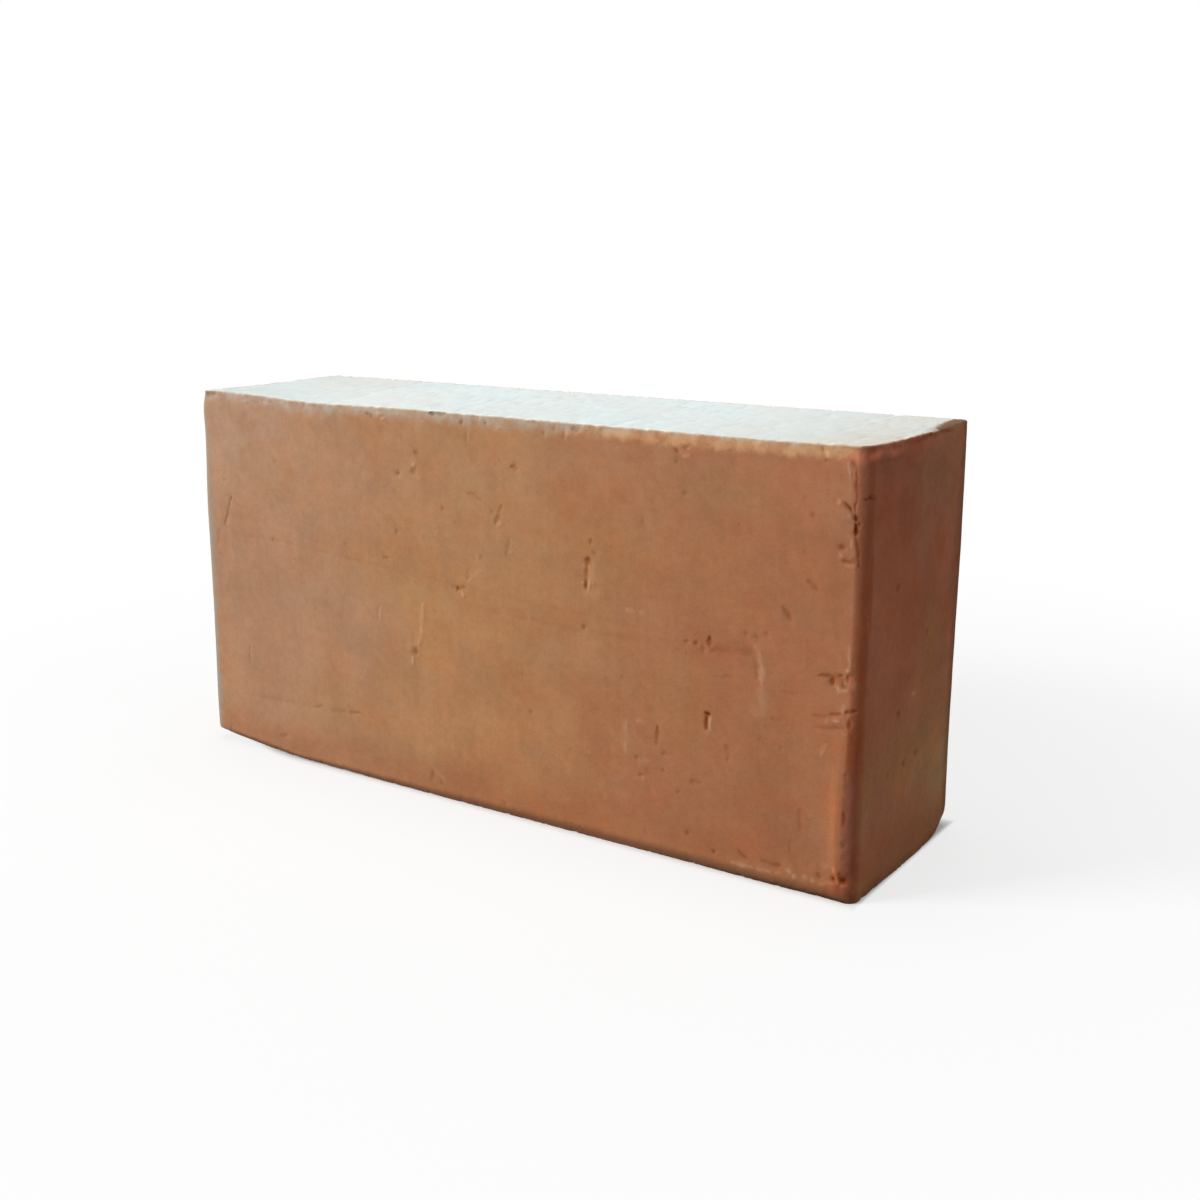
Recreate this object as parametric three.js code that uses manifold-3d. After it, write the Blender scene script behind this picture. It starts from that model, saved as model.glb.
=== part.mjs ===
// Solid clay brick of the nine-inch format, standing on edge on one of its long narrow faces.
//
// A stiff column of clay leaves the die with its four arrises rounded, and wires cut it off above and
// below. That column runs upwards here: the upright arrises carry the die's radius, and the arrises
// round the top and the base, where the wires passed, are nearly sharp. Handling has worn two corners
// of the base away.
//
// Millimetres, +Z up. +X runs along the length and +Y from the front bed to the back bed, and the
// origin is the middle of the base.

import * as THREE from "three";
import { ConvexGeometry } from "three/addons/geometries/ConvexGeometry.js";
import { mergeVertices } from "three/addons/utils/BufferGeometryUtils.js";
import Module from "manifold-3d";

// Driving dimensions: nine by four and a half by two and a half inches.
const LENGTH = 228.6;
const HEIGHT = 114.3;
const THICKNESS = 63.5;

const DIE_RADIUS = 3.2; // the four upright arrises
const WIRE_ARRIS_RADIUS = 0.8; // the arrises round the top and the base

// A worn corner is cut by one sloping plane. Its three reaches run from the corner that an unworn
// block would have: along the length, through the thickness and up the upright arris.
const FRONT_WEAR_LENGTH = 36; // left front corner of the base
const FRONT_WEAR_DEPTH = 14;
const FRONT_WEAR_RISE = 3.6;
const BACK_WEAR_LENGTH = 8; // right back corner of the base
const BACK_WEAR_DEPTH = 9;
const BACK_WEAR_RISE = 5;

const CUTTER_STAND_OFF = 5; // how far a cutter's tip lies outside the faces that it cuts through

const DIE_ARC_DIVISIONS = 5; // each quarter round takes twice as many straight steps
const WIRE_ARRIS_STEPS = 3;

const FIRED_CLAY = { color: 0xa87552, roughness: 0.85, metalness: 0 };

const wasm = await Module();
wasm.setup();

// The solid inside a closed geometry.
function solidFrom(geometry) {
  geometry.deleteAttribute("normal");
  geometry.deleteAttribute("uv");
  const merged = mergeVertices(geometry);
  return new wasm.Manifold(
    new wasm.Mesh({
      numProp: 3,
      vertProperties: merged.attributes.position.array,
      triVerts: new Uint32Array(merged.index.array),
    }),
  );
}

// The geometry round a finished solid.
function geometryOf(solid) {
  const mesh = solid.getMesh();
  const geometry = new THREE.BufferGeometry();
  geometry.setAttribute("position", new THREE.BufferAttribute(mesh.vertProperties, mesh.numProp));
  geometry.setIndex(new THREE.BufferAttribute(mesh.triVerts, 1));
  return geometry;
}

// The die's opening: a rectangle with rounded corners, centred on the origin.
function dieSection() {
  const x = LENGTH / 2 - DIE_RADIUS;
  const y = THICKNESS / 2 - DIE_RADIUS;
  const quarter = Math.PI / 2;
  const section = new THREE.Shape();
  section.absarc(x, y, DIE_RADIUS, 0, quarter);
  section.absarc(-x, y, DIE_RADIUS, quarter, 2 * quarter);
  section.absarc(-x, -y, DIE_RADIUS, 2 * quarter, 3 * quarter);
  section.absarc(x, -y, DIE_RADIUS, 3 * quarter, 4 * quarter);
  section.closePath();
  return section;
}

// The block as the wires leave it, standing on the origin's plane.
function unwornBlock() {
  const block = new THREE.ExtrudeGeometry(dieSection(), {
    depth: HEIGHT - 2 * WIRE_ARRIS_RADIUS,
    curveSegments: DIE_ARC_DIVISIONS,
    bevelThickness: WIRE_ARRIS_RADIUS,
    bevelSize: WIRE_ARRIS_RADIUS,
    bevelOffset: -WIRE_ARRIS_RADIUS,
    bevelSegments: WIRE_ARRIS_STEPS,
  });
  return solidFrom(block.translate(0, 0, WIRE_ARRIS_RADIUS));
}

// What wear took from one corner of the base: a pyramid whose tip lies outside the corner and whose
// slope passes through the ends of the three reaches. outward holds the signs of the corner's X and Y.
function baseCornerWear(outward, reach) {
  const corner = new THREE.Vector3((outward.x * LENGTH) / 2, (outward.y * THICKNESS) / 2, 0);
  const inward = new THREE.Vector3(-outward.x, -outward.y, 1);
  const tip = corner.clone().addScaledVector(inward, -CUTTER_STAND_OFF);
  const spread = 1 + CUTTER_STAND_OFF * (1 / reach.x + 1 / reach.y + 1 / reach.z);
  const ends = ["x", "y", "z"].map((axis) => {
    const end = tip.clone();
    end[axis] += inward[axis] * reach[axis] * spread;
    return end;
  });
  return solidFrom(new ConvexGeometry([tip, ...ends]));
}

function brickSolid() {
  const frontWear = new THREE.Vector3(FRONT_WEAR_LENGTH, FRONT_WEAR_DEPTH, FRONT_WEAR_RISE);
  const backWear = new THREE.Vector3(BACK_WEAR_LENGTH, BACK_WEAR_DEPTH, BACK_WEAR_RISE);
  return unwornBlock()
    .subtract(baseCornerWear(new THREE.Vector2(-1, -1), frontWear))
    .subtract(baseCornerWear(new THREE.Vector2(1, 1), backWear));
}

const firedClay = new THREE.MeshStandardMaterial({ ...FIRED_CLAY, flatShading: true });
const brick = new THREE.Mesh(geometryOf(brickSolid()), firedClay);
brick.name = "brick";

const part = new THREE.Group();
part.add(brick);

export default part;
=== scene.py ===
"""Finishes a fired clay brick: the marks and relief of its faces, its clay, and a plain studio round it."""

import math
from typing import NamedTuple

import bpy
import numpy as np
from bpy.props import FloatProperty, FloatVectorProperty, IntProperty, PointerProperty
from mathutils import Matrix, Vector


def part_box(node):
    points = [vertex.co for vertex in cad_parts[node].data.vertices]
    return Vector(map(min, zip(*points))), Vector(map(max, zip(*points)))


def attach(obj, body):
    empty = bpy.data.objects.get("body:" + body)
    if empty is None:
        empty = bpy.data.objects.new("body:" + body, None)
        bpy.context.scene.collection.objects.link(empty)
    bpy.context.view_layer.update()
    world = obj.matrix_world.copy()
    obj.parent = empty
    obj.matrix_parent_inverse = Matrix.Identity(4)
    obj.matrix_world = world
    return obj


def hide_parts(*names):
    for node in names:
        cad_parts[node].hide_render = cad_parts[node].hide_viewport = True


bl_info = {
    "name": "Fired Clay Brick",
    "version": (1, 0, 0),
    "blender": (4, 5, 0),
    "location": "3D View > Sidebar > Brick",
    "description": "Models and finishes a solid fired clay brick standing on a studio floor",
    "category": "Add Mesh",
}

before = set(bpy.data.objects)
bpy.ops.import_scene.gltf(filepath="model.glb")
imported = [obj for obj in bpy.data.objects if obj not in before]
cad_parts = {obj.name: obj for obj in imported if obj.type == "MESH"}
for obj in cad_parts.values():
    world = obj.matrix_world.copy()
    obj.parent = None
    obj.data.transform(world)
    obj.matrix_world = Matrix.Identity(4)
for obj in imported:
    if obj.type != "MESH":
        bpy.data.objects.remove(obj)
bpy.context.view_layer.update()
LOW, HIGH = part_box("brick")
HALF_LENGTH = HIGH.x
HALF_THICKNESS = HIGH.y
HEIGHT = HIGH.z

MM = 0.001
TINY = 1e-9
KEPT_GROUP = "marked"  # the vertex group of the points in marks, which the thinning holds on to
KEPT_WEIGHT = 1e-5  # how much more it costs the thinning to drop one of them


# ---------------------------------------------------------------- marks made by hand and by handling


class Mark(NamedTuple):
    """A stroke on a face, in millimetres of that face: across, and up from the base."""

    path: tuple  # one point for a pit, more for a scratch
    width: float  # from the middle of the stroke to where it has all but gone
    depth: float  # how far it sinks, or stands proud where negative
    stain_and_painted_light: float = 0.0  # 1 for the darkest, dirt with painted shade in hollows; -1 for the palest, scuffs with painted highlight on raised lips


# On the front bed: across is +X.
FRONT_MARKS = (
    # The slot where a pebble was dragged out, its pushed-up right lip, and the crumbs round it
    Mark(((34.5, 79.0), (34.3, 77.2)), 0.85, 0.45, 0.6),
    Mark(((34.2, 77.0), (34.0, 73.2)), 0.6, 0.26, 0.42),
    Mark(((34.0, 73.2), (33.8, 70.8)), 0.5, 0.32, 0.34),
    Mark(((36.6, 77.6), (36.2, 72.4)), 1.1, -0.08, -0.14),
    Mark(((35.2, 73.6), (35.0, 70.9)), 0.5, -0.16, -0.34),
    Mark(((33.0, 72.4),), 0.5, -0.12, -0.2),
    Mark(((33.6, 69.0), (38.4, 69.6)), 1.6, -0.08, -0.12),
    Mark(((35.6, 84.4), (35.5, 83.2)), 0.8, 0.18, 0.24),
    Mark(((36.5, 81.0),), 0.8, 0.1, 0.24),
    # Pits with the crumb that left them beside
    Mark(((-10.5, 65.0), (-9.8, 64.7)), 0.9, 0.4, 0.34),
    Mark(((-9.2, 65.2), (-7.6, 65.8)), 0.5, 0.2, 0.24),
    Mark(((-8.5, 63.8), (-8.3, 63.0)), 0.7, -0.35, -0.65),
    Mark(((-12.2, 65.6), (-11.2, 65.1)), 0.7, 0.15, 0.16),
    Mark(((-27.0, 43.8),), 0.95, 0.32, 0.27),
    Mark(((-25.9, 45.9), (-24.3, 49.6), (-23.4, 58.4)), 0.8, -0.14, -0.24),
    Mark(((-27.9, 41.9), (-27.9, 39.6)), 0.7, -0.25, -0.42),
    Mark(((-24.0, 102.5),), 0.9, 0.36, 0.42),
    Mark(((-31.4, 96.2),), 0.75, 0.3, 0.3),
    Mark(((-26.0, 97.0), (-24.6, 97.3)), 0.85, 0.25, 0.2),
    Mark(((-25.2, 99.0),), 0.7, -0.2, -0.3),
    Mark(((-23.3, 95.2),), 0.6, -0.12, -0.18),
    Mark(((10.0, 101.3), (11.6, 101.4)), 0.8, 0.35, 0.3),
    Mark(((-14.8, 87.7),), 0.65, 0.25, 0.16),
    Mark(((-5.9, 92.8), (-2.9, 92.4), (-0.7, 91.1)), 0.7, 0.14, 0.2),
    Mark(((33.2, 59.8),), 0.75, 0.26, 0.22),
    Mark(((-81.0, 95.2),), 0.6, 0.15, 0.14),
    Mark(((-83.7, 70.8),), 0.7, 0.25, 0.28),
    Mark(((-53.2, 72.8),), 0.5, 0.12, 0.12),
    Mark(((-38.2, 70.3), (-35.9, 70.5)), 0.5, 0.26, 0.28),
    Mark(((-1.2, 75.1),), 0.65, 0.22, 0.22),
    Mark(((-2.7, 74.8),), 0.5, -0.12, -0.24),
    Mark(((45.2, 48.1),), 0.55, 0.2, 0.18),
    Mark(((64.0, 99.4), (65.2, 99.6)), 0.65, 0.12, 0.16),
    Mark(((92.7, 74.0), (93.8, 72.4), (94.9, 70.8)), 0.8, 0.18, 0.24),
    Mark(((88.2, 66.5),), 0.8, 0.12, 0.2),
    Mark(((85.7, 65.1),), 0.7, 0.1, 0.14),
    Mark(((89.3, 65.5),), 0.5, -0.1, -0.2),
    Mark(((100.0, 97.6),), 0.65, 0.25, 0.3),
    Mark(((99.4, 81.4), (101.9, 79.2)), 0.9, 0.2, 0.24),
    Mark(((66.1, 8.0),), 0.65, 0.22, 0.26),
    Mark(((74.3, 4.8),), 0.55, 0.35, 0.42),
    Mark(((14.3, 32.8), (15.5, 32.5)), 0.5, 0.12, 0.14),
    # Diagonal scrape, dragged smears and upright scratches
    Mark(((-6.2, 67.3), (-5.0, 68.4), (-1.7, 71.2)), 1.1, -0.08, -0.16),
    Mark(((-6.0, 71.2), (-6.8, 67.6)), 0.6, 0.12, 0.14),
    Mark(((6.3, 90.4), (4.8, 87.4), (3.7, 85.2)), 0.75, 0.2, 0.2),
    Mark(((5.4, 85.2),), 0.6, -0.2, -0.38),
    Mark(((8.8, 81.6), (7.2, 76.4)), 0.65, 0.14, 0.13),
    Mark(((9.4, 77.6),), 0.55, -0.15, -0.25),
    Mark(((-41.1, 55.4), (-41.4, 51.0)), 0.4, 0.1, 0.12),
    Mark(((-39.9, 55.6), (-40.3, 50.8)), 0.4, -0.08, -0.14),
    Mark(((-97.0, 34.5), (-97.5, 28.5)), 0.5, 0.12, 0.15),
    Mark(((-101.2, 82.4), (-102.8, 78.0), (-103.6, 76.0), (-104.9, 73.2)), 0.42, 0.22, 0.32),
    Mark(((-107.6, 71.9), (-109.1, 65.8)), 0.45, 0.1, 0.14),
    Mark(((-22.2, 7.1), (-22.4, 4.6)), 0.9, 0.14, 0.16),
    Mark(((-20.6, 7.8), (-17.2, 5.4)), 0.8, -0.08, -0.14),
    Mark(((-19.1, 5.6), (-18.4, 4.0)), 0.8, 0.12, 0.2),
    Mark(((3.4, 3.0), (5.2, 3.0)), 0.6, 0.1, 0.14),
    Mark(((-85.4, 6.4), (-83.0, 7.2)), 0.8, 0.08, 0.24),
    Mark(((92.4, 52.7), (96.6, 52.1)), 0.6, 0.08, 0.12),
    Mark(((89.8, 44.6), (93.0, 44.5)), 0.55, 0.08, 0.14),
    Mark(((77.7, 35.0), (77.8, 31.0)), 0.8, 0.16, 0.14),
    Mark(((98.8, 22.6), (99.1, 17.0)), 0.8, 0.12, 0.12),
    Mark(((96.5, 13.2), (96.3, 10.0)), 0.45, 0.1, 0.12),
    # A short torn notch and its lip
    Mark(((71.0, 42.6), (72.2, 42.6)), 0.55, 0.35, 0.75),
    Mark(((71.5, 41.9), (71.3, 38.4)), 0.42, 0.35, 0.6),
    Mark(((72.6, 41.6), (72.5, 38.2)), 0.5, -0.16, -0.5),
    # Long faint creases where folds of clay closed, the plainest ending in a row of pits and a raised curl
    Mark(((-101.6, 70.8), (-83.6, 70.9)), 0.8, 0.04, 0.05),
    Mark(((-83.6, 70.9), (-59.6, 69.1), (-34.6, 67.6)), 0.6, 0.05, 0.07),
    Mark(((-21.6, 66.9), (0.4, 65.1), (25.4, 63.6), (60.4, 62.1)), 0.7, 0.03, 0.04),
    Mark(((0.4, 60.1), (20.4, 59.0), (35.4, 58.6)), 0.7, 0.04, 0.05),
    Mark(((-101.6, 17.6), (-79.6, 18.6), (-69.6, 19.0)), 0.6, 0.05, 0.07),
    Mark(((35.4, 58.6), (48.5, 59.1), (62.8, 60.4)), 1.1, 0.06, 0.07),
    Mark(((65.2, 60.8),), 0.5, 0.22, 0.22),
    Mark(((68.2, 60.8),), 0.6, 0.26, 0.28),
    Mark(((72.2, 62.9), (72.0, 61.0)), 0.8, 0.46, 0.5),
    Mark(((70.3, 59.6),), 0.5, 0.12, 0.12),
    Mark(((65.2, 57.8),), 0.45, 0.2, 0.42),
    Mark(((72.7, 59.7),), 0.5, 0.24, 0.3),
    Mark(((73.8, 59.9), (79.6, 60.4), (85.0, 61.1)), 1.6, 0.14, 0.15),
    Mark(((85.2, 62.4), (86.4, 61.2)), 1.2, -0.12, -0.15),
    Mark(((86.5, 61.2), (87.4, 58.0)), 0.8, -0.18, -0.28),
    Mark(((87.3, 58.2), (87.5, 53.6)), 0.95, -0.16, -0.36),
    Mark(((87.6, 53.2), (87.7, 49.0), (87.8, 45.0)), 1.4, -0.1, -0.18),
    Mark(((84.9, 60.3), (85.7, 57.0), (86.0, 54.6)), 0.6, 0.1, 0.16),
    Mark(((84.8, 44.8), (88.6, 45.5)), 0.5, -0.06, -0.12),
    Mark(((73.4, 52.8), (79.7, 53.8)), 0.5, 0.07, 0.1),
    Mark(((-62.2, 18.8), (-57.0, 19.6)), 0.8, 0.1, 0.12),
    Mark(((-55.0, 19.4), (-50.2, 20.6)), 0.55, 0.14, 0.14),
    Mark(((-69.2, 19.0), (-66.0, 20.0)), 0.5, 0.12, 0.16),
    # Smeared lump low on the right
    Mark(((52.0, 28.6),), 5.0, -0.22, 0.0),
    Mark(((46.9, 35.5), (46.7, 27.0)), 1.0, -0.18, -0.2),
    Mark(((50.1, 36.5), (52.4, 36.2)), 1.0, -0.12, -0.17),
    Mark(((56.6, 36.4), (56.5, 31.2)), 0.6, 0.28, 0.36),
    Mark(((58.8, 29.2),), 0.6, 0.2, 0.22),
    Mark(((50.0, 26.2),), 0.65, 0.2, 0.22),
    Mark(((50.4, 24.8), (53.8, 26.4)), 1.0, -0.14, -0.2),
    Mark(((53.2, 23.4), (54.6, 22.2)), 1.2, 0.12, 0.14),
    Mark(((50.7, 21.6), (52.6, 22.0)), 0.45, 0.14, 0.2),
    Mark(((52.3, 20.6),), 0.8, -0.1, -0.12),
    Mark(((58.2, 24.2),), 0.55, 0.15, 0.26),
    Mark(((67.2, 22.9), (69.8, 23.0)), 0.9, 0.2, 0.16),
    Mark(((62.9, 19.1),), 0.6, 0.12, 0.13),
    # Pale flecks, and crumbs pressed flat low on the right
    Mark(((47.2, 66.6), (49.4, 66.8)), 1.0, -0.08, -0.22),
    Mark(((51.6, 66.6),), 0.7, -0.06, -0.18),
    Mark(((34.8, 24.4),), 0.6, -0.08, -0.16),
    Mark(((79.6, 3.3), (85.6, 3.2)), 0.7, -0.14, -0.34),
    Mark(((87.4, 3.2), (91.0, 3.4)), 0.55, -0.1, -0.26),
    Mark(((92.6, 3.6), (94.2, 3.9)), 0.5, -0.12, -0.3),
    Mark(((95.9, 4.9), (97.0, 4.6)), 0.8, -0.2, -0.42),
    Mark(((97.6, 4.0), (98.4, 3.6)), 0.6, -0.16, -0.4),
    Mark(((100.2, 4.3), (101.4, 4.1)), 0.8, -0.14, -0.3),
    Mark(((102.6, 3.9), (103.4, 4.0)), 0.6, -0.12, -0.3),
    Mark(((104.8, 3.6), (106.2, 3.7)), 0.5, -0.1, -0.24),
    Mark(((81.4, 6.7), (84.4, 5.4)), 0.7, 0.14, 0.26),
    Mark(((88.2, 5.7), (93.6, 5.7)), 0.6, 0.14, 0.32),
    Mark(((98.1, 6.0),), 0.5, 0.08, 0.1),
    Mark(((104.5, 6.4), (104.8, 5.1)), 0.75, 0.2, 0.58),
    Mark(((106.6, 8.4),), 1.2, -0.25, -0.12),
    Mark(((109.0, 8.6), (109.5, 7.4)), 0.8, -0.3, -0.12),
    Mark(((108.4, 6.0),), 0.65, 0.5, 0.95),
    Mark(((109.8, 7.4), (109.9, 4.8)), 0.5, -0.15, -0.15),
    Mark(((111.1, 6.2),), 0.9, 0.35, 0.85),
    Mark(((106.4, 4.4), (109.0, 4.6)), 0.5, -0.1, -0.2),
    Mark(((110.6, 4.6), (112.6, 4.9)), 0.5, -0.12, -0.3),
    # Flap of clay folded along the right arris, and the crack that runs into it
    Mark(((108.9, 110.8), (109.2, 108.6)), 0.45, -0.16, -0.28),
    Mark(((109.2, 108.0), (109.4, 102.0)), 0.45, -0.08, -0.14),
    Mark(((109.8, 111.3), (110.1, 109.9)), 0.55, 0.2, 0.36),
    Mark(((110.6, 110.0), (110.8, 104.4), (110.9, 99.2)), 0.36, 0.14, 0.55),
    Mark(((110.8, 106.6), (110.9, 103.0)), 0.5, 0.15, 0.6),
    Mark(((107.9, 101.3), (109.1, 100.2), (110.4, 99.2)), 0.55, 0.3, 0.7),
    Mark(((106.8, 101.5),), 0.6, -0.18, -0.34),
    Mark(((110.9, 99.0), (111.0, 97.3)), 0.6, 0.25, 0.95),
    Mark(((111.0, 96.5), (111.1, 93.7)), 0.45, 0.25, 0.85),
    Mark(((111.8, 97.2), (111.9, 96.0)), 0.4, 0.2, 0.36),
    Mark(((109.5, 98.4),), 0.6, -0.15, -0.38),
    Mark(((110.3, 92.4), (110.4, 90.4)), 0.5, -0.12, -0.34),
    Mark(((111.1, 93.3), (111.6, 91.4), (111.8, 86.4)), 0.36, 0.18, 0.6),
    Mark(((112.4, 102.4), (113.4, 102.5)), 0.3, 0.12, 0.55),
    Mark(((107.8, 87.1), (111.4, 87.4)), 0.5, 0.26, 0.34),
    Mark(((110.4, 88.0), (111.5, 88.1)), 0.35, 0.2, 0.28),
    Mark(((108.4, 85.9), (111.4, 86.1)), 0.45, -0.08, -0.14),
    Mark(((107.8, 90.7),), 0.75, 0.36, 0.46),
    Mark(((107.6, 88.6),), 0.6, -0.15, -0.3),
    # Nicks in the bruised foot of the right arris
    Mark(((111.8, 44.0), (111.4, 35.0)), 0.8, 0.05, 0.15),
    Mark(((111.0, 34.2), (110.9, 32.4)), 0.45, 0.12, 0.16),
    Mark(((110.9, 23.6), (110.7, 20.6)), 0.45, 0.12, 0.3),
    Mark(((110.8, 15.2),), 0.5, 0.12, 0.35),
    # Tears across the right arris
    Mark(((102.6, 58.0), (106.9, 58.7)), 0.42, 0.26, 0.34),
    Mark(((107.9, 58.7), (109.2, 58.9)), 0.42, 0.32, 0.6),
    Mark(((106.4, 58.4), (109.4, 57.8)), 1.1, 0.12, 0.24),
    Mark(((110.5, 59.2), (111.8, 59.5)), 0.42, 0.18, 0.26),
    Mark(((106.5, 58.2), (106.4, 56.5)), 0.65, 0.32, 0.42),
    Mark(((108.8, 57.3), (109.3, 56.4), (110.1, 56.0)), 0.42, 0.28, 0.42),
    Mark(((110.4, 59.1), (110.5, 57.6)), 0.35, 0.2, 0.55),
    Mark(((107.8, 56.0), (108.4, 55.0), (110.4, 55.4)), 0.6, -0.16, -0.36),
    Mark(((110.1, 60.5), (110.8, 60.5)), 0.65, -0.18, -0.36),
    Mark(((112.4, 57.7), (112.5, 55.9)), 0.75, -0.2, -0.16),
    Mark(((110.6, 66.8), (110.9, 61.4)), 0.5, -0.1, -0.2),
    Mark(((101.6, 47.4), (105.6, 48.1)), 0.45, 0.12, 0.17),
    Mark(((105.9, 48.6), (109.3, 49.3)), 0.42, 0.24, 0.36),
    Mark(((110.5, 50.0), (112.7, 50.4)), 0.42, 0.28, 0.48),
    Mark(((109.8, 51.6), (109.9, 49.8)), 0.65, -0.12, -0.24),
    Mark(((111.1, 48.3), (111.2, 45.8)), 0.4, 0.22, 0.36),
    Mark(((101.6, 44.4), (110.2, 45.9)), 0.42, 0.14, 0.2),
    Mark(((107.0, 47.1), (108.9, 47.5)), 0.5, -0.14, -0.24),
    Mark(((105.4, 47.0), (105.4, 46.0)), 0.45, -0.12, -0.2),
    Mark(((109.4, 43.8), (110.8, 44.2)), 0.5, -0.1, -0.12),
    Mark(((105.4, 40.6), (104.2, 37.8)), 0.7, -0.12, -0.22),
    # Chips and nicks along the upper arris
    Mark(((-111.0, 114.4), (-105.4, 114.5)), 1.0, 0.35, 0.7),
    Mark(((-93.4, 113.2), (-91.4, 112.6)), 0.6, -0.22, -0.3),
    Mark(((-89.4, 113.4), (-87.0, 113.0)), 0.6, 0.22, 0.22),
    Mark(((-84.2, 112.7), (-82.6, 112.3)), 0.6, -0.2, -0.26),
    Mark(((-81.4, 113.2),), 0.5, 0.24, 0.26),
    Mark(((-65.6, 113.2), (-59.6, 112.8)), 0.4, 0.1, 0.14),
    Mark(((-42.4, 112.4), (-40.4, 111.6)), 0.6, 0.32, 0.55),
    Mark(((-38.4, 112.4), (-36.4, 112.8)), 0.6, -0.26, -0.42),
    Mark(((-36.8, 110.9), (-35.2, 111.6)), 0.5, -0.2, -0.4),
    Mark(((-21.2, 112.4),), 0.6, 0.12, 0.05),
    Mark(((-18.7, 113.9), (-12.8, 114.2)), 0.65, 0.5, 0.9),
    Mark(((-7.0, 112.3),), 0.65, 0.4, 0.55),
    Mark(((-5.3, 111.2), (-5.4, 107.0)), 0.38, 0.1, 0.05),
    Mark(((-4.3, 111.3), (-4.4, 107.6)), 0.45, -0.08, -0.16),
    Mark(((1.1, 112.8),), 0.6, 0.32, 0.46),
    Mark(((5.2, 111.6), (7.2, 111.8)), 0.5, -0.12, -0.26),
    Mark(((20.2, 111.1), (21.0, 111.2)), 0.5, 0.12, 0.16),
    Mark(((23.8, 112.7), (25.0, 112.8)), 0.65, 0.24, 0.34),
    Mark(((27.4, 113.8), (27.3, 110.5)), 0.38, 0.14, 0.02),
    Mark(((28.3, 112.4), (28.3, 109.6)), 0.42, -0.08, -0.18),
    Mark(((29.8, 112.9), (32.0, 113.0)), 0.7, 0.28, 0.6),
    Mark(((39.0, 113.7), (42.7, 114.0)), 0.4, 0.1, 0.08),
    Mark(((39.0, 110.5), (54.2, 111.3)), 0.7, 0.05, 0.09),
    Mark(((45.2, 106.1), (55.7, 106.9)), 0.42, 0.05, 0.03),
    Mark(((63.0, 110.9), (65.3, 111.1)), 0.5, 0.28, 0.38),
    Mark(((61.9, 110.1),), 0.6, 0.34, 0.65),
    Mark(((61.9, 107.3),), 0.5, 0.24, 0.3),
    Mark(((63.1, 109.9),), 0.5, -0.12, -0.22),
    Mark(((63.6, 108.8), (65.9, 108.9)), 0.6, -0.14, -0.24),
    Mark(((101.8, 113.6), (102.9, 112.0)), 0.5, 0.28, 0.38),
    Mark(((103.4, 113.1), (104.4, 111.4)), 0.7, -0.18, -0.32),
    Mark(((102.7, 110.9), (104.5, 111.1)), 0.45, 0.18, 0.26),
)

# On the right header: across is +Y.
HEADER_MARKS = (
    Mark(((-12.4, 77.9), (-12.0, 76.9)), 1.0, 0.3, 0.4),
    Mark(((-17.6, 81.0),), 0.6, 0.2, 0.2),
    Mark(((8.5, 61.2),), 0.8, 0.25, 0.35),
    Mark(((-7.9, 43.4),), 1.0, 0.4, 0.72),
    Mark(((5.0, 29.2),), 0.9, 0.35, 0.45),
    Mark(((-3.0, 28.7),), 0.9, 0.32, 0.48),
    Mark(((-13.3, 28.4),), 0.75, 0.32, 0.4),
    Mark(((0.2, 47.0), (2.0, 46.3)), 0.7, -0.2, -0.6),
    Mark(((-31.2, 102.9), (-27.8, 102.3)), 0.6, 0.12, 0.5),
    Mark(((-31.0, 113.9), (-22.5, 113.6)), 0.5, 0.1, 0.28),
    Mark(((-28.6, 90.0), (-28.2, 70.0)), 0.7, 0.08, 0.3),
    Mark(((12.0, 92.0), (11.0, 84.0)), 0.6, 0.1, 0.05),
    # Ragged lip right under the upper arris, and a drag line below it
    Mark(((-22.0, 113.5), (-15.5, 113.0), (-9.0, 113.4), (-3.0, 112.9)), 0.75, 0.2, 0.36),
    Mark(((-3.0, 112.9), (4.0, 113.4), (9.0, 113.0), (14.0, 113.4), (19.0, 112.8)), 0.75, 0.2, 0.42),
    Mark(((-29.5, 110.8), (-20.0, 110.6), (-12.0, 110.0)), 0.6, 0.12, 0.16),
)


class Patch(NamedTuple):
    """A soft patch, in the same millimetres, of clay that the fire or handling turned another shade; a few
    patches are painted highlights where an arris catches the light.
    """

    place: tuple
    reach: tuple
    tone: tuple  # what it multiplies the clay's red, green and blue by
    strength: float = 1.0


RUSTY = (0.97, 0.90, 0.86)
REDDISH = (1.03, 0.97, 0.97)
FLAME = (1.15, 1.00, 0.85)
SANDY = (1.00, 1.00, 0.90)
OLIVE = (0.98, 1.05, 0.98)
GREYISH = (1.00, 1.01, 1.07)
SMOKY = (0.93, 0.93, 0.94)
PALE = (1.06, 1.06, 1.05)
ASHEN = (0.86, 0.98, 1.02)
DUSTY = (1.02, 1.12, 1.14)
PLUM = (0.88, 0.78, 0.92)
# Painted highlights where an arris catches the light
LIT = (2.10, 1.95, 2.40)
PINK_HIGHLIGHT = (1.30, 1.02, 1.04)
CHARRED = (0.50, 0.46, 0.46)

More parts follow.
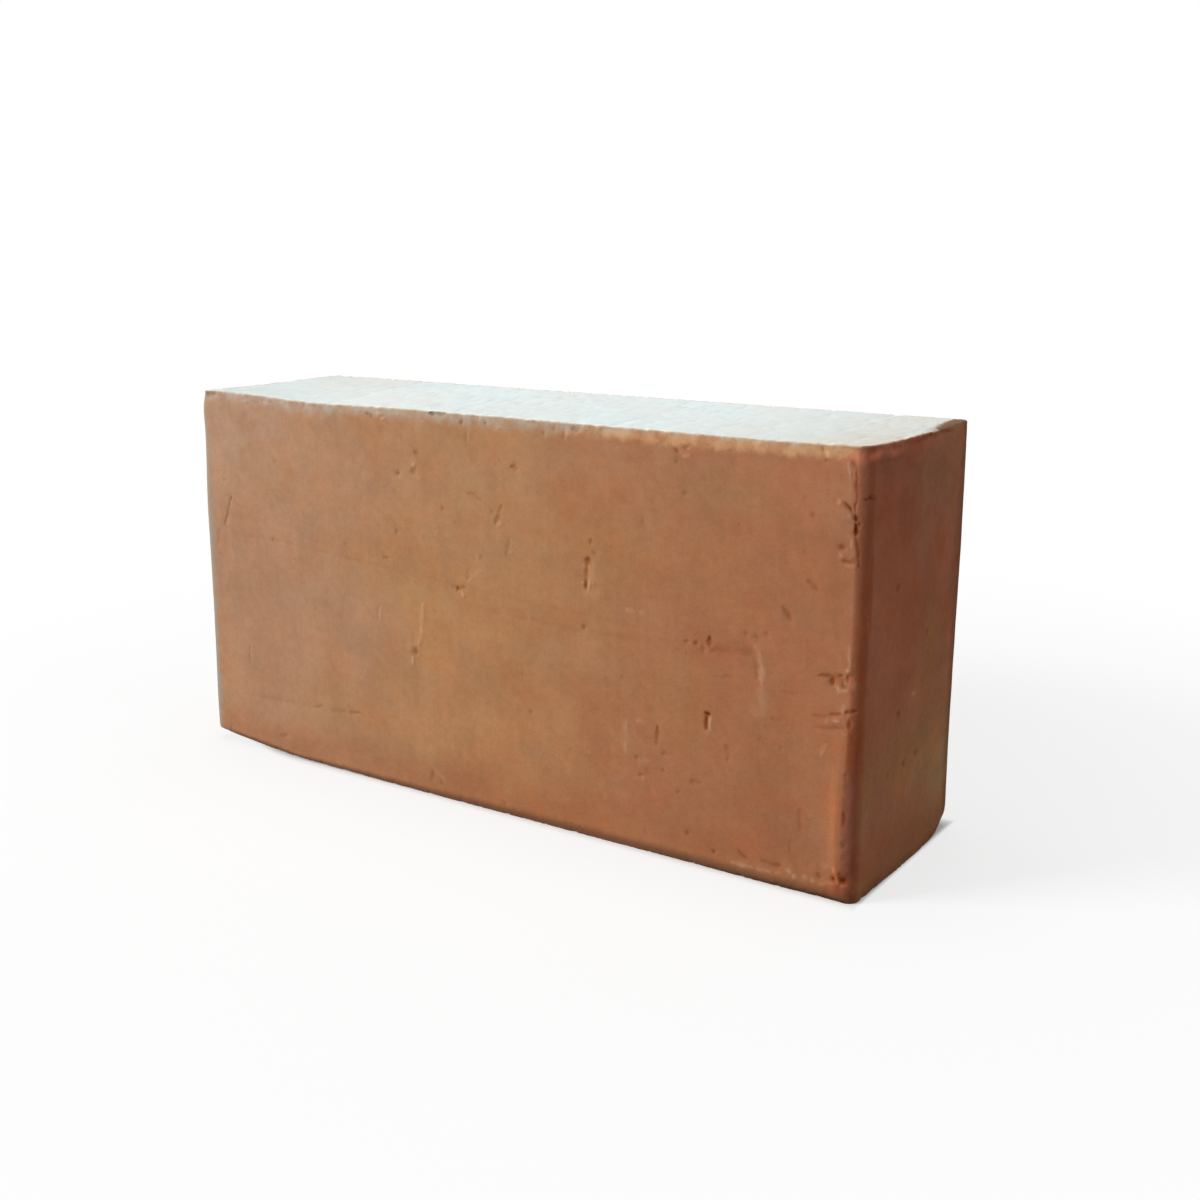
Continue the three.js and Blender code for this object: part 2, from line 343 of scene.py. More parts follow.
FRONT_PATCHES = (
    Patch((14, 41), (10, 7), RUSTY),
    Patch((5, 106), (7, 4), RUSTY),
    Patch((-50, 21), (12, 6), RUSTY, 0.7),
    Patch((15, 12), (26, 5), RUSTY, 0.6),
    Patch((43, 12), (8, 4), RUSTY, 0.7),
    Patch((98, 106), (6, 4), RUSTY, 0.5),
    Patch((-13, 39), (4, 8), REDDISH),
    Patch((0, 17), (14, 6), REDDISH),
    Patch((-88, 40), (8, 8), REDDISH, 0.6),
    Patch((88, 9), (8, 3), REDDISH, 1.2),
    Patch((10.8, 113.6), (4.5, 1.0), RUSTY, 1.5),
    Patch((50.4, 112.6), (6.5, 1.3), FLAME, 0.8),
    Patch((50.4, 108.4), (6, 2), RUSTY, 0.5),
    Patch((101.8, 108.7), (2.8, 2.2), RUSTY, 1.4),
    Patch((-104, 10), (6, 4), REDDISH, 0.6),
    Patch((109.4, 7.2), (2.6, 3.4), RUSTY, 2.6),
    Patch((109.8, 3.6), (4.6, 2.4), RUSTY, 2.0),
    Patch((107.1, 10.2), (2.4, 3.4), PALE, 1.2),
    Patch((107.6, 38), (2.2, 8), PALE),
    Patch((110.6, 3.2), (3.4, 1.6), PLUM, 1.2),
    Patch((107.8, 20), (1.5, 15), FLAME, 0.5),
    Patch((112.0, 41), (1.4, 7), RUSTY, 2.2),
    # Painted highlights at the top of the right arris
    Patch((110.4, 112.6), (3.2, 1.4), PINK_HIGHLIGHT),
    Patch((112.9, 112.2), (1.6, 1.5), LIT, 0.45),
    Patch((109.4, 22), (1.0, 12), RUSTY, 1.2),
    Patch((-74, 6), (14, 5), RUSTY, 0.8),
    Patch((-60, 20), (18, 11), SANDY),
    Patch((-86, 94), (14, 9), SANDY, 0.8),
    Patch((-45, 66), (9, 9), SANDY, 0.7),
    Patch((-20, 50), (10, 14), SANDY, 0.7),
    Patch((39, 88), (10, 8), SANDY, 0.8),
    Patch((33, 20), (9, 7), SANDY, 0.6),
    Patch((-109, 15), (5, 4), OLIVE, 0.8),
    Patch((-15.6, 113.4), (4.0, 1.4), OLIVE, 1.6),
    Patch((87.5, 109.4), (3, 1.1), OLIVE, 1.6),
    Patch((78, 100), (14, 8), OLIVE, 1.2),
    Patch((64, 45), (10, 14), OLIVE),
    Patch((62, 80), (22, 14), OLIVE, 0.6),
    Patch((-25, 60), (10, 5), OLIVE, 0.7),
    Patch((103.9, 20), (1.7, 16), ASHEN, 0.6),
    Patch((-108, 112), (4, 3), ASHEN, 0.4),
    Patch((35, 105), (32, 6), GREYISH, 0.5),
    Patch((112.5, 56.5), (1.6, 2.0), PALE),
    Patch((-24, 92), (14, 14), GREYISH, 0.8),
    Patch((-4, 78), (18, 5), GREYISH, 0.9),
    Patch((6, 93), (14, 13), GREYISH, 0.7),
    Patch((52, 64), (10, 12), GREYISH, 0.9),
    Patch((72, 55), (16, 9), GREYISH, 0.6),
    Patch((26, 52), (9, 9), GREYISH, 0.7),
    Patch((-88, 70), (14, 10), GREYISH, 0.5),
    Patch((44, 44), (12, 7), SMOKY, 0.9),
    Patch((-11, 97), (5, 7), SMOKY, 0.9),
    Patch((24, 103), (5, 3.5), SMOKY, 0.7),
    Patch((-82, 105), (10, 6), SMOKY, 0.9),
    Patch((-98, 102), (7, 7), SMOKY, 0.4),
    Patch((-97, 52), (7, 13), SMOKY, 0.6),
    Patch((95, 24), (8, 13), SMOKY, 0.7),
    Patch((88, 13), (22, 10), SMOKY, 0.9),
    Patch((108.5, 84), (3.5, 22), SMOKY, 0.8),
    Patch((88, 92), (6, 7), SMOKY, 0.5),
    Patch((31, 68), (3, 7), SMOKY, 0.6),
    Patch((39, 92), (7, 7), PALE, 0.9),
    Patch((37, 74), (4, 6), PALE, 0.9),
    Patch((-8, 54), (10, 9), PALE),
    Patch((68, 50), (7, 12), PALE, 0.8),
    Patch((-103, 82), (4, 8), PALE, 0.8),
    Patch((-106, 40), (3.5, 24), PALE, 0.8),
    Patch((51, 22), (8, 8), PALE, 0.6),
    Patch((104, 100), (4, 4), PALE, 0.8),
)

HEADER_PATCHES = (
    # Painted highlights high on the header, by its front arris
    Patch((-29.6, 112.9), (4.2, 1.2), LIT),
    Patch((-19, 112.4), (6, 1.5), LIT, 0.45),
    Patch((-18, 109), (12, 2.4), SMOKY, 2.4),
    Patch((31.0, 113.4), (1.4, 1.8), CHARRED, 1.2),
    Patch((24.8, 77), (1.7, 12), SMOKY, 3.0),
    Patch((12, 60), (6, 14), OLIVE, 1.8),
    Patch((17, 83), (3.5, 4), RUSTY, 1.2),
    Patch((-2, 112), (10, 3), REDDISH, 1.4),
    Patch((-15, 96), (9, 9), REDDISH, 1.2),
    Patch((0, 100), (30, 12), SMOKY, 2.2),
    Patch((4, 102), (9, 6), OLIVE, 1.2),
    Patch((-26, 64), (4, 8), GREYISH, 1.4),
    Patch((10, 66), (18, 7), REDDISH),
    Patch((14, 86), (7, 9), FLAME, 0.5),
    Patch((19, 27), (1.8, 8), FLAME, 1.2),
    Patch((22, 100), (8, 14), OLIVE, 1.2),
    Patch((-24, 72), (5, 14), GREYISH, 1.2),
    Patch((0, 30), (26, 8), OLIVE, 1.6),
    Patch((-4, 24), (14, 6), PALE, 2.0),
    Patch((1, 46.5), (8, 4), PALE, 2.0),
    Patch((-14, 28), (16, 26), DUSTY, 1.2),
    Patch((15, 30), (14, 26), DUSTY, 0.5),
    Patch((-28, 22), (4, 18), OLIVE, 1.8),
    Patch((22, 18), (9, 12), DUSTY, 1.6),
    Patch((27, 19), (5, 10), DUSTY, 1.1),
    Patch((8, 74), (16, 12), SMOKY, 0.7),
    Patch((0, 10), (30, 6), REDDISH),
)


class Dent(NamedTuple):
    """A broad soft blow, in millimetres of the brick's own frame."""

    place: tuple
    reach: tuple  # how far it spreads along X, Y and Z
    push: tuple  # how far it drives the clay along X, Y and Z


DENTS = (
    # Left front arris: rubbed back near the top, swollen towards the foot
    Dent((-114.3, -31.8, 102.0), (9, 16, 14), (1.0, 0.2, 0)),
    Dent((-114.3, -31.8, 114.3), (6, 9, 4), (1.2, 0.4, -0.4)),
    Dent((-114.3, -31.8, 40.0), (10, 30, 35), (-0.4, 0, 0)),
    Dent((-114.3, -31.8, 4.0), (9, 16, 26), (-1.5, 0, 0)),
    # Front top arris: low left of the middle, proud to the right
    Dent((0.0, -31.8, 114.3), (150, 14, 16), (0, 0, 0.45)),
    Dent((-108.0, -31.8, 114.3), (22, 14, 16), (0, 0, 0.8)),
    Dent((-62.0, -31.8, 114.3), (17, 14, 16), (0, 0, -0.5)),
    Dent((112.0, -31.8, 114.3), (14, 14, 16), (0, 0, 0.5)),
    # Front base arris, flared where the clay slumped on its kiln shelf
    Dent((10.0, -31.8, 0.0), (100, 6, 5), (0, -0.4, 0)),
    Dent((88.0, -31.8, 0.0), (14, 6, 4), (0, -0.3, 0)),
    Dent((-72.0, -31.8, 0.0), (28, 10, 5), (0, 0, 0.4)),
    Dent((-114.3, -31.8, 0.0), (5, 6, 4), (0.3, 0, 1.0)),
    # Right header: swollen low down, and proud along its back arris
    Dent((114.3, 2.0, 0.0), (6, 29, 9), (0.8, 0, 0)),
    Dent((114.3, 31.8, 95.0), (12, 10, 40), (0.3, 0.2, 0)),
    Dent((114.3, 12.0, 114.3), (2.5, 8, 3), (-0.6, 0, -0.6)),
)

# ---------------------------------------------------------------- the arrises of the right header

# Where the front bed breaks off into its right arris, up the height, as (up, across)
ARRIS_BREAK = (
    (0, 110.8),
    (6, 110.6),
    (14, 110.1),
    (24, 110.1),
    (30, 110.2),
    (38, 110.9),
    (50, 111.3),
    (114, 111.1),
)
# A pair of numbers for the break holds the one at its foot and the one above it.
BREAK_SLOPE = (0.42, 0.36)  # how steeply the arris falls away from the break
BREAK_SOFTNESS = (0.5, 0.15)  # how gradually that fall starts
BREAK_STEP = 0.12  # height of the step down at the break, at the foot
BREAK_STEP_WIDTH = 1.4
BREAK_BASE = (2, 7)  # over which heights the break comes in above the base
BREAK_FADE = (3.2, 8.0)  # how far back from the front bed the fall keeps its depth, and where it ends
FOOT_TOP = (30, 42)  # over which heights the bruised foot gives way to the arris above it
LIP_HEIGHT = 0.3  # how far the front stands proud before the break, at its foot
LIP_RUN = (3.8, 1.2)  # from how far before the break it rises, and up to where
BRUISE_DEPTH = 0.06  # roughness of the bruised foot
BRUISE_SIZE = 1.5
BRUISE_RUN = 1.0  # over how far it comes in behind the break

ARRIS_SHADE = (0.92, 0.70, 0.56)  # painted core shade halfway round this arris, darker and redder
ARRIS_SHADE_MIDDLE = ((66, 0.58), (95, 0.72))  # how far round it is darkest, up the height
ARRIS_SHADE_WIDTH = 0.32
ARRIS_SHADE_FOOT = 0.4  # how much of that painted shade is left at the foot
FOOT_SHADE_TONE = (0.80, 0.76, 0.92)  # painted shade just past the break, on its bruised foot
FOOT_SHADE_MIDDLE = 0.3  # how far round the arris that painted shade thins out, and over how much of it
FOOT_SHADE_WIDTH = 0.4
FOOT_SHADE_RUN = (-0.2, 1.6)  # from where to where it comes in, measured from the break
BACK_ARRIS_SHADE = (0.68, 0.68, 0.66)  # painted shade where the header turns into the back bed
BACK_ARRIS_WIDTH = (4.6, 5.8)  # up to how far before the back bed it is whole, and where it ends
BACK_ARRIS_RUN = (4, 20)  # the same two, along the back bed from the header

# ---------------------------------------------------------------- how the faces are marked

NOISE_KNOTS = 64  # the noise on a face repeats after so many lumps
TAPER = 0.5  # how much thinner a stroke is at its ends than in its middle
MARK_REACH = 3  # a mark is worked out as far as so many of its widths
MARK_MARGIN = 1  # and so many millimetres more
MARK_RAGGED = ((0.25, 1.6), (0.12, 0.7))  # layers of raggedness round a mark: how far, and how wide
MARK_UNEVEN = 0.45  # how unevenly a mark is pressed in
MARK_UNEVEN_SIZE = 1.8
PATCH_RAGGED = ((2.4, 8.0), (1.2, 3.0))  # layers of raggedness round a patch
PATCH_WHOLE = 4  # patches with a shorter reach than this are less ragged
# The first seed of each noise. ragged_places takes one for every layer, across and then up.
MARK_SEED = 1
MARK_UNEVEN_SEED = 5
PATCH_SEED = 6
BRUISE_SEED = 10


def smooth_step(value, low, high):
    """Runs from 0 to 1 as the value goes from low to high, level at both ends."""
    share = np.clip((value - low) / (high - low), 0, 1)
    return share * share * (3 - 2 * share)


def face_noise(across, up, size, seed):
    """Smooth noise from -1 to 1 over a face, whose lumps are about size millimetres across."""
    knots = np.random.default_rng(seed).uniform(-1, 1, (NOISE_KNOTS, NOISE_KNOTS))
    column, row = np.floor(across / size).astype(int), np.floor(up / size).astype(int)
    right, above = across / size - column, up / size - row
    right, above = right * right * (3 - 2 * right), above * above * (3 - 2 * above)
    column, row = column % NOISE_KNOTS, row % NOISE_KNOTS
    next_column, next_row = (column + 1) % NOISE_KNOTS, (row + 1) % NOISE_KNOTS
    low = knots[column, row] * (1 - right) + knots[next_column, row] * right
    high = knots[column, next_row] * (1 - right) + knots[next_column, next_row] * right
    return low * (1 - above) + high * above


def ragged_places(across, up, layers, seed):
    """Both coordinates after layers of noise have shifted them, so that what is laid there gets ragged."""
    shifted = []
    for place in (across, up):
        for far, size in layers:
            place = place + far * face_noise(across, up, size, seed)
            seed += 1
        shifted.append(place)
    return shifted


def path_distance(across, up, path):
    """How far each point of a face lies from a stroke's path, and how thick the stroke is there."""
    nearest = np.full(across.shape, np.inf)
    thickness = np.ones(across.shape)
    legs = list(zip(path, path[1:])) or [(path[0], path[0])]
    for number, ((a0, u0), (a1, u1)) in enumerate(legs):
        along = (a1 - a0, u1 - u0)
        length_squared = max(along[0] ** 2 + along[1] ** 2, TINY)
        share = np.clip(((across - a0) * along[0] + (up - u0) * along[1]) / length_squared, 0, 1)
        gap = np.hypot(across - a0 - share * along[0], up - u0 - share * along[1])
        from_middle = np.abs(2 * (number + share) / len(legs) - 1) * (len(path) > 1)
        thickness = np.where(gap < nearest, 1 - TAPER * from_middle**3, thickness)
        nearest = np.minimum(nearest, gap)
    return nearest, thickness


def press_marks(across, up, marks):
    """The depth of a set of marks at each point of a face, in millimetres, and their stain with painted shade
    in hollows and painted highlight on raised lips.
    """
    ragged_across, ragged_up = ragged_places(across, up, MARK_RAGGED, MARK_SEED)
    uneven = MARK_UNEVEN * face_noise(across, up, MARK_UNEVEN_SIZE, MARK_UNEVEN_SEED)
    sunk, proud, dark, pale = np.zeros((4, *across.shape))
    for mark in marks:
        reach = MARK_REACH * mark.width + MARK_MARGIN
        low, high = np.min(mark.path, 0) - reach, np.max(mark.path, 0) + reach
        near = np.flatnonzero((across > low[0]) & (across < high[0]) & (up > low[1]) & (up < high[1]))
        gap, thickness = path_distance(ragged_across[near], ragged_up[near], mark.path)
        strength = np.exp(-((gap / (mark.width * thickness)) ** 2))
        strength *= 1 + uneven[near] * min(1, 1 / mark.width)
        sunk[near] = np.maximum(sunk[near], mark.depth * strength)
        proud[near] = np.minimum(proud[near], mark.depth * strength)
        dark[near] = np.maximum(dark[near], mark.stain_and_painted_light * strength)
        pale[near] = np.minimum(pale[near], mark.stain_and_painted_light * strength)
    return sunk + proud, np.clip(dark + pale, -1, 1)


def toned(tone, amount):
    """What the clay's colour is multiplied by where a tone is laid on by these amounts."""
    return np.array(tone) ** amount[:, None]


def patch_tint(across, up, patches):
    """What a face's patches multiply the clay's colour by at each of its points, painted highlights among
    them.
    """
    ragged_across, ragged_up = ragged_places(across, up, PATCH_RAGGED, PATCH_SEED)
    tint_and_painted_light = np.ones((len(across), 3))
    for patch in patches:
        share = min(1, min(patch.reach) / PATCH_WHOLE)
        off_across = across + share * (ragged_across - across) - patch.place[0]
        off_up = up + share * (ragged_up - up) - patch.place[1]
        gap = np.hypot(off_across / patch.reach[0], off_up / patch.reach[1])
        tint_and_painted_light *= toned(patch.tone, patch.strength * np.exp(-(gap**3)))
    return tint_and_painted_light


def mark_faces(points, on_front, on_header, over_cut):
    """Presses the marks of the front bed and of the right header into their points.

    Returns each point's stain, with painted shade and highlight in it, and what its clay's colour is
    multiplied by, painted highlights among it. over_cut is how far past a bed's edge a point of a cut face
    counts as lying, so that a mark at that edge bends over the arris.
    """
    stain_and_painted_light, tint_and_painted_light = np.zeros(len(points)), np.ones((len(points), 3))
    place = np.stack([points[:, 0], points[:, 2] + over_cut])[:, on_front] / MM
    depth, stain_and_painted_light[on_front] = press_marks(*place, FRONT_MARKS)
    points[on_front, 1] += depth * MM
    tint_and_painted_light[on_front] = patch_tint(*place, FRONT_PATCHES)
    place = points[on_header][:, [1, 2]].T / MM
    depth, header_stain_and_painted_light = press_marks(*place, HEADER_MARKS)
    points[on_header, 0] -= depth * MM
    stain_and_painted_light[on_header] += header_stain_and_painted_light
    tint_and_painted_light[on_header] = patch_tint(*place, HEADER_PATCHES)
    return stain_and_painted_light, tint_and_painted_light


def break_across(up):
    """Where the front breaks off into its right arris at each height."""
    return np.interp(up, *np.transpose(ARRIS_BREAK))


def by_foot(foot, at_foot, above):
    """Runs from the number above the foot to the one at it as foot goes from 0 to 1."""
    return above + (at_foot - above) * foot


def fall_of_arris(points):
    """How far the clay of the right front arris falls back behind a plain quarter round, in millimetres."""
    x, y, z = (points / MM).T
    break_x = break_across(z)
    width = HALF_LENGTH / MM - break_x
    foot = 1 - smooth_step(z, *FOOT_TOP)
    softness = by_foot(foot, *BREAK_SOFTNESS)
    along = np.clip(softness * np.logaddexp(0, (x - break_x) / softness) / width, 0, 1)
    fall = by_foot(foot, *BREAK_SLOPE) * width * (along - along**2 / 2)
    fall += BREAK_STEP * foot * smooth_step(x, break_x, break_x + BREAK_STEP_WIDTH)
    fall *= smooth_step(z, *BREAK_BASE)
    lip = LIP_HEIGHT * foot * smooth_step(x, break_x - LIP_RUN[0], break_x - LIP_RUN[1])
    bruise = BRUISE_DEPTH * foot * smooth_step(x, break_x, break_x + BRUISE_RUN)
    bruise *= face_noise(x, z, BRUISE_SIZE, BRUISE_SEED)
    from_front = y + HALF_THICKNESS / MM
    return (fall - lip + bruise) * (1 - smooth_step(from_front, *BREAK_FADE))


def break_closeness(points):
    """1 along the break of the right front arris, and 0 from a millimetre or two off."""
    x, _y, z = (points / MM).T
    return np.exp(-((x - break_across(z)) ** 2))


def arris_painted_shade(points, turn):
    """The painted shade round the two arrises of the right header, as what the clay's colour is multiplied
    by.
    """
    right = points[:, 0] > 0
    front = right & (points[:, 1] < 0)
    x, y, z = (points / MM).T
    foot = 1 - smooth_step(z, *FOOT_TOP)
    middle = np.interp(z, *np.transpose(ARRIS_SHADE_MIDDLE))
    around = np.exp(-(((turn - middle) / ARRIS_SHADE_WIDTH) ** 2)) * front
    around *= by_foot(foot, ARRIS_SHADE_FOOT, 1)
    break_x = break_across(z)
    # Painted shade just past the break, low on the arris
    foot_shade = smooth_step(x, break_x + FOOT_SHADE_RUN[0], break_x + FOOT_SHADE_RUN[1])
    foot_shade *= np.exp(-((np.maximum(turn - FOOT_SHADE_MIDDLE, 0) / FOOT_SHADE_WIDTH) ** 2)) * foot * front
    to_back = HALF_THICKNESS / MM - y
    to_end = HALF_LENGTH / MM - x
    # Painted shade where the header turns away into the back bed
    back = (1 - smooth_step(to_back, *BACK_ARRIS_WIDTH)) * (right & ~front)
    back *= 1 - smooth_step(to_end, *BACK_ARRIS_RUN)
    return toned(ARRIS_SHADE, around) * toned(FOOT_SHADE_TONE, foot_shade) * toned(BACK_ARRIS_SHADE, back)


def press_dents(points):
    """The points after the broad blows."""
    moved = points.copy()
    for dent in DENTS:
        apart = (points / MM - dent.place) / dent.reach
        moved += np.exp(-(apart**2).sum(1))[:, None] * np.array(dent.push) * MM
    return moved


# ---------------------------------------------------------------- the block

WIRE_STEPS = 3  # steps of the mesh round an arris that the wire left
DIE_STEPS = 8  # steps round an upright arris
BREAK_STEPS = 8  # steps across the strip beside it
# A turn is how far round an upright arris a point lies, from 0 on a bed to 1 on a header.
FRONT_MARKS_END = 0.9  # the turn up to which the front bed's marks reach
HEADER_MARKS_START = 0.5  # the turn from which the header's marks reach
LEFT_FRONT_FADE = (0.45, 0.8)  # the turns over which the left front arris stops counting as front


def grid_lines(half, zones, step):
    """Places of the grid lines from -half to half: close together in the zones at both ends."""
    lines = [0.0]
    for width, count in zones:
        lines += list(lines[-1] + width * np.arange(1, count + 1) / count)
    ends = np.array(lines)
    middle = np.linspace(-half + ends[-1], half - ends[-1], round(2 * (half - ends[-1]) / step) + 1)
    return np.concatenate([-half + ends[:-1], middle, half - ends[:-1][::-1]])


def box_skin(shape):
    """Which points of a box of grid points lie on its skin, and the quads between them, facing out."""
    skin = np.ones(shape, bool)
    skin[1:-1, 1:-1, 1:-1] = False
    number = np.full(shape, -1)
    number[skin] = np.arange(skin.sum())
    quads = []
    for axis in range(3):
        for end in (0, -1):
            sheet = np.take(number, end, axis=axis)
            corners = [sheet[:-1, :-1], sheet[1:, :-1], sheet[1:, 1:], sheet[:-1, 1:]]
            if (end == 0) == (axis != 1):
                corners.reverse()
            quads.append(np.stack(corners, -1).reshape(-1, 4))
    return skin, np.concatenate(quads)


def round_arrises(x, y, z, die_radius, wire_radius):
    """Turns points on a sharp block's skin into points on the die's section with its cut arrises.

    Returns the places, how far each point lies from the nearest wire-cut arris (positive on the cut
    face and negative on the faces beside it), and how far round its upright arris it is, from 0 on a
    bed to 1 on a header.
    """
    inset = np.minimum(HALF_LENGTH - np.abs(x), HALF_THICKNESS - np.abs(y))
    from_cut = np.minimum(z, HEIGHT - z)
    u = np.abs(x) - (HALF_LENGTH - die_radius)
    v = np.abs(y) - (HALF_THICKNESS - die_radius)
    corner = (u > 0) & (v > 0)
    reach = np.where(corner, np.hypot(u, v), 1)
    squeeze = np.where(corner, np.maximum(u, v) / reach, 1)
    to_end = HALF_LENGTH - np.abs(x) < HALF_THICKNESS - np.abs(y)
    out_x = np.sign(x) * np.where(corner, u / reach, to_end)
    out_y = np.sign(y) * np.where(corner, v / reach, ~to_end)
    x = np.where(corner, np.sign(x) * (HALF_LENGTH - die_radius + u * squeeze), x)
    y = np.where(corner, np.sign(y) * (HALF_THICKNESS - die_radius + v * squeeze), y)

    rolled = np.maximum(inset, from_cut) < wire_radius
    toward = np.stack([wire_radius - inset, wire_radius - from_cut])
    toward = wire_radius * toward / np.maximum(np.hypot(*toward), TINY)
    new_inset = np.where(rolled, wire_radius - toward[0], inset)
    new_depth = np.where(rolled, wire_radius - toward[1], from_cut)
    x = x + out_x * (inset - new_inset)
    y = y + out_y * (inset - new_inset)
    z = np.where(z < HEIGHT / 2, new_depth, HEIGHT - new_depth)
    turn = np.where(corner, np.arctan2(u, v) * 2 / math.pi, to_end)
    return np.stack([x, y, z], 1), inset - from_cut, turn


def wear_corner(points, outward, reach, softness):
    """Pushes what stands beyond a sloping plane across one corner of the base back to that plane.

    Returns the points and how far each was pushed.
    """
    corner = np.array([outward[0] * HALF_LENGTH, outward[1] * HALF_THICKNESS, 0.0])
    inward = np.array([-outward[0], -outward[1], 1.0])
    slope = inward / np.array(reach)
    steepness = np.linalg.norm(slope)
    inside = ((points - corner) @ slope - 1) / steepness
    push = softness * np.logaddexp(0, -inside / softness)
    return points + push[:, None] * slope / steepness, push


def worn_height(points, outward, reach):
    """How high the slope across a worn corner stands above the base's plane at each point."""
    along = (HALF_LENGTH - outward[0] * points[:, 0]) / reach[0]
    through = (HALF_THICKNESS - outward[1] * points[:, 1]) / reach[1]
    return reach[2] * np.clip(1 - (along + through), 0, 1)


def store(mesh, name, values):
    """Keeps a number for each point of the mesh under a name that the node trees read."""
    attribute = mesh.attributes.new(name, "FLOAT", "POINT")
    attribute.data.foreach_set("value", np.asarray(values, np.float32))


def store_colour(mesh, name, colours):
    """Keeps a colour for each point of the mesh."""
    attribute = mesh.attributes.new(name, "FLOAT_COLOR", "POINT")
    opaque = np.column_stack([colours, np.ones(len(colours))])
    attribute.data.foreach_set("color", opaque.astype(np.float32).ravel())


def block_mesh(body):
    """The brick's mesh before its relief: rounded, worn and marked."""
    corner_zone = ((body.wire_radius, WIRE_STEPS), (body.die_radius - body.wire_radius, DIE_STEPS))
    lines = (
        grid_lines(HALF_LENGTH, (*corner_zone, (body.break_zone, BREAK_STEPS)), body.step),
        grid_lines(HALF_THICKNESS, corner_zone, body.side_step),
        grid_lines(HEIGHT / 2, ((body.wire_radius, WIRE_STEPS),), body.step) + HEIGHT / 2,
    )
    skin, quads = box_skin([len(line) for line in lines])
    x, y, z = (grid[skin] for grid in np.meshgrid(*lines, indexing="ij"))
    points, rim, turn = round_arrises(x, y, z, body.die_radius, body.wire_radius)
    over_base = points[:, 2] - worn_height(points, (-1, -1), body.front_wear)
    points, front_worn = wear_corner(points, (-1, -1), body.front_wear, body.front_softness)
    points, back_worn = wear_corner(points, (1, 1), body.back_wear, body.back_softness)
    right_front = (points[:, 0] > 0) & (points[:, 1] < 0)
    points[right_front, 1] += fall_of_arris(points[right_front]) * MM
    points = press_dents(points)

    on_front = (y < -HALF_THICKNESS + body.die_radius) & (turn < FRONT_MARKS_END)
    on_header = (x > 0) & (turn > HEADER_MARKS_START)
    over_cut = np.sign(z - HEIGHT / 2) * np.maximum(rim, 0)
    stain_and_painted_light, tint_and_painted_light = mark_faces(points, on_front, on_header, over_cut)
    # Painted shade round the arrises of the right header
    tint_and_painted_light *= arris_painted_shade(points, turn)

    mesh = bpy.data.meshes.new("brick_block")
    mesh.from_pydata(points.tolist(), [], quads.tolist())
    numbers = {
        "stain_and_painted_light": stain_and_painted_light,
        "rim": rim,
        "over_base": over_base,
        "left_front": np.where((x < 0) & (y < 0), 1 - smooth_step(turn, *LEFT_FRONT_FADE), 0),
        "turn": turn,
        "held": np.maximum(np.abs(stain_and_painted_light), break_closeness(points) * right_front),
        "wire_cut": np.minimum(z, HEIGHT - z) < TINY,
        "arris": np.exp(-np.abs(rim) / body.arris_band),
        "worn": np.clip((front_worn + back_worn) / body.die_radius, 0, 1),
    }
    for name, values in numbers.items():
        store(mesh, name, values)
    store_colour(mesh, "tint_and_painted_light", tint_and_painted_light)
    mesh.update()
    return mesh


# ---------------------------------------------------------------- node trees

EVEN = (1, 1, 1)


class Graph:
    """A node tree, with short ways to add nodes to it and join them."""

    def __init__(self, tree):
        self.tree = tree

    def node(self, kind, inputs=None, **settings):
        node = self.tree.nodes.new(kind)
        for name, value in settings.items():
            setattr(node, name, value)
        for key, value in (inputs or {}).items():
            self.feed(node.inputs[key], value)
        return node

    def feed(self, socket, value):
        if isinstance(value, bpy.types.NodeSocket):
            self.tree.links.new(value, socket)
        else:
            socket.default_value = value

    def math(self, operation, *values):
        node = self.node("ShaderNodeMath", dict(enumerate(values)), operation=operation)
        return node.outputs[0]

    def total(self, first, second):
        return self.math("ADD", first, second)

    def product(self, value, *others):
        for other in others:
            value = self.math("MULTIPLY", value, other)
        return value

    def vector_math(self, operation, *values, output="Vector", scale=None):
        node = self.node("ShaderNodeVectorMath", dict(enumerate(values)), operation=operation)
        if scale is not None:
            self.feed(node.inputs["Scale"], scale)
        return node.outputs[output]

    def noise(self, place, size, detail=2.0, roughness=0.5, stretch=EVEN):
        """Noise from 0 to 1 whose lumps are about size across, drawn out by stretch along each axis."""
        drawn = self.vector_math("DIVIDE", place, stretch)
        scaled = self.vector_math("SCALE", drawn, scale=self.math("DIVIDE", 1.0, size))
        inputs = {"Vector": scaled, "Scale": 1.0, "Detail": detail, "Roughness": roughness}
        return self.node("ShaderNodeTexNoise", inputs, noise_dimensions="3D").outputs[0]

    def swing(self, place, size, **settings):
        """The same noise from -0.5 to 0.5."""
        return self.math("SUBTRACT", self.noise(place, size, **settings), 0.5)

    def vector_noise(self, place, size):
        """Noise from -1 to 1 on each axis, whose lumps are about size across."""
        scaled = self.vector_math("SCALE", place, scale=1 / size)
        inputs = {"Vector": scaled, "Scale": 1.0, "Detail": 1.0}
        drawn = self.node("ShaderNodeTexNoise", inputs).outputs["Color"]
        return self.vector_math("MULTIPLY_ADD", drawn, (2.0, 2.0, 2.0), (-1.0, -1.0, -1.0))

    def remap(self, value, low, high, to_low=0.0, to_high=1.0):
        """Runs from to_low to to_high as the value goes from low to high, level at both ends."""
        inputs = {"Value": value, "From Min": low, "From Max": high, "To Min": to_low, "To Max": to_high}
        return self.node("ShaderNodeMapRange", inputs, interpolation_type="SMOOTHSTEP").outputs[0]

    def mix(self, factor, first, second, blend="MIX"):
        inputs = {0: factor, 6: first, 7: second}
        return self.node("ShaderNodeMix", inputs, data_type="RGBA", blend_type=blend).outputs[2]

    def tone(self, factor, colour, tone):
        """Multiplies a colour by a tone, by as much as the factor says."""
        return self.mix(factor, colour, tone, "MULTIPLY")


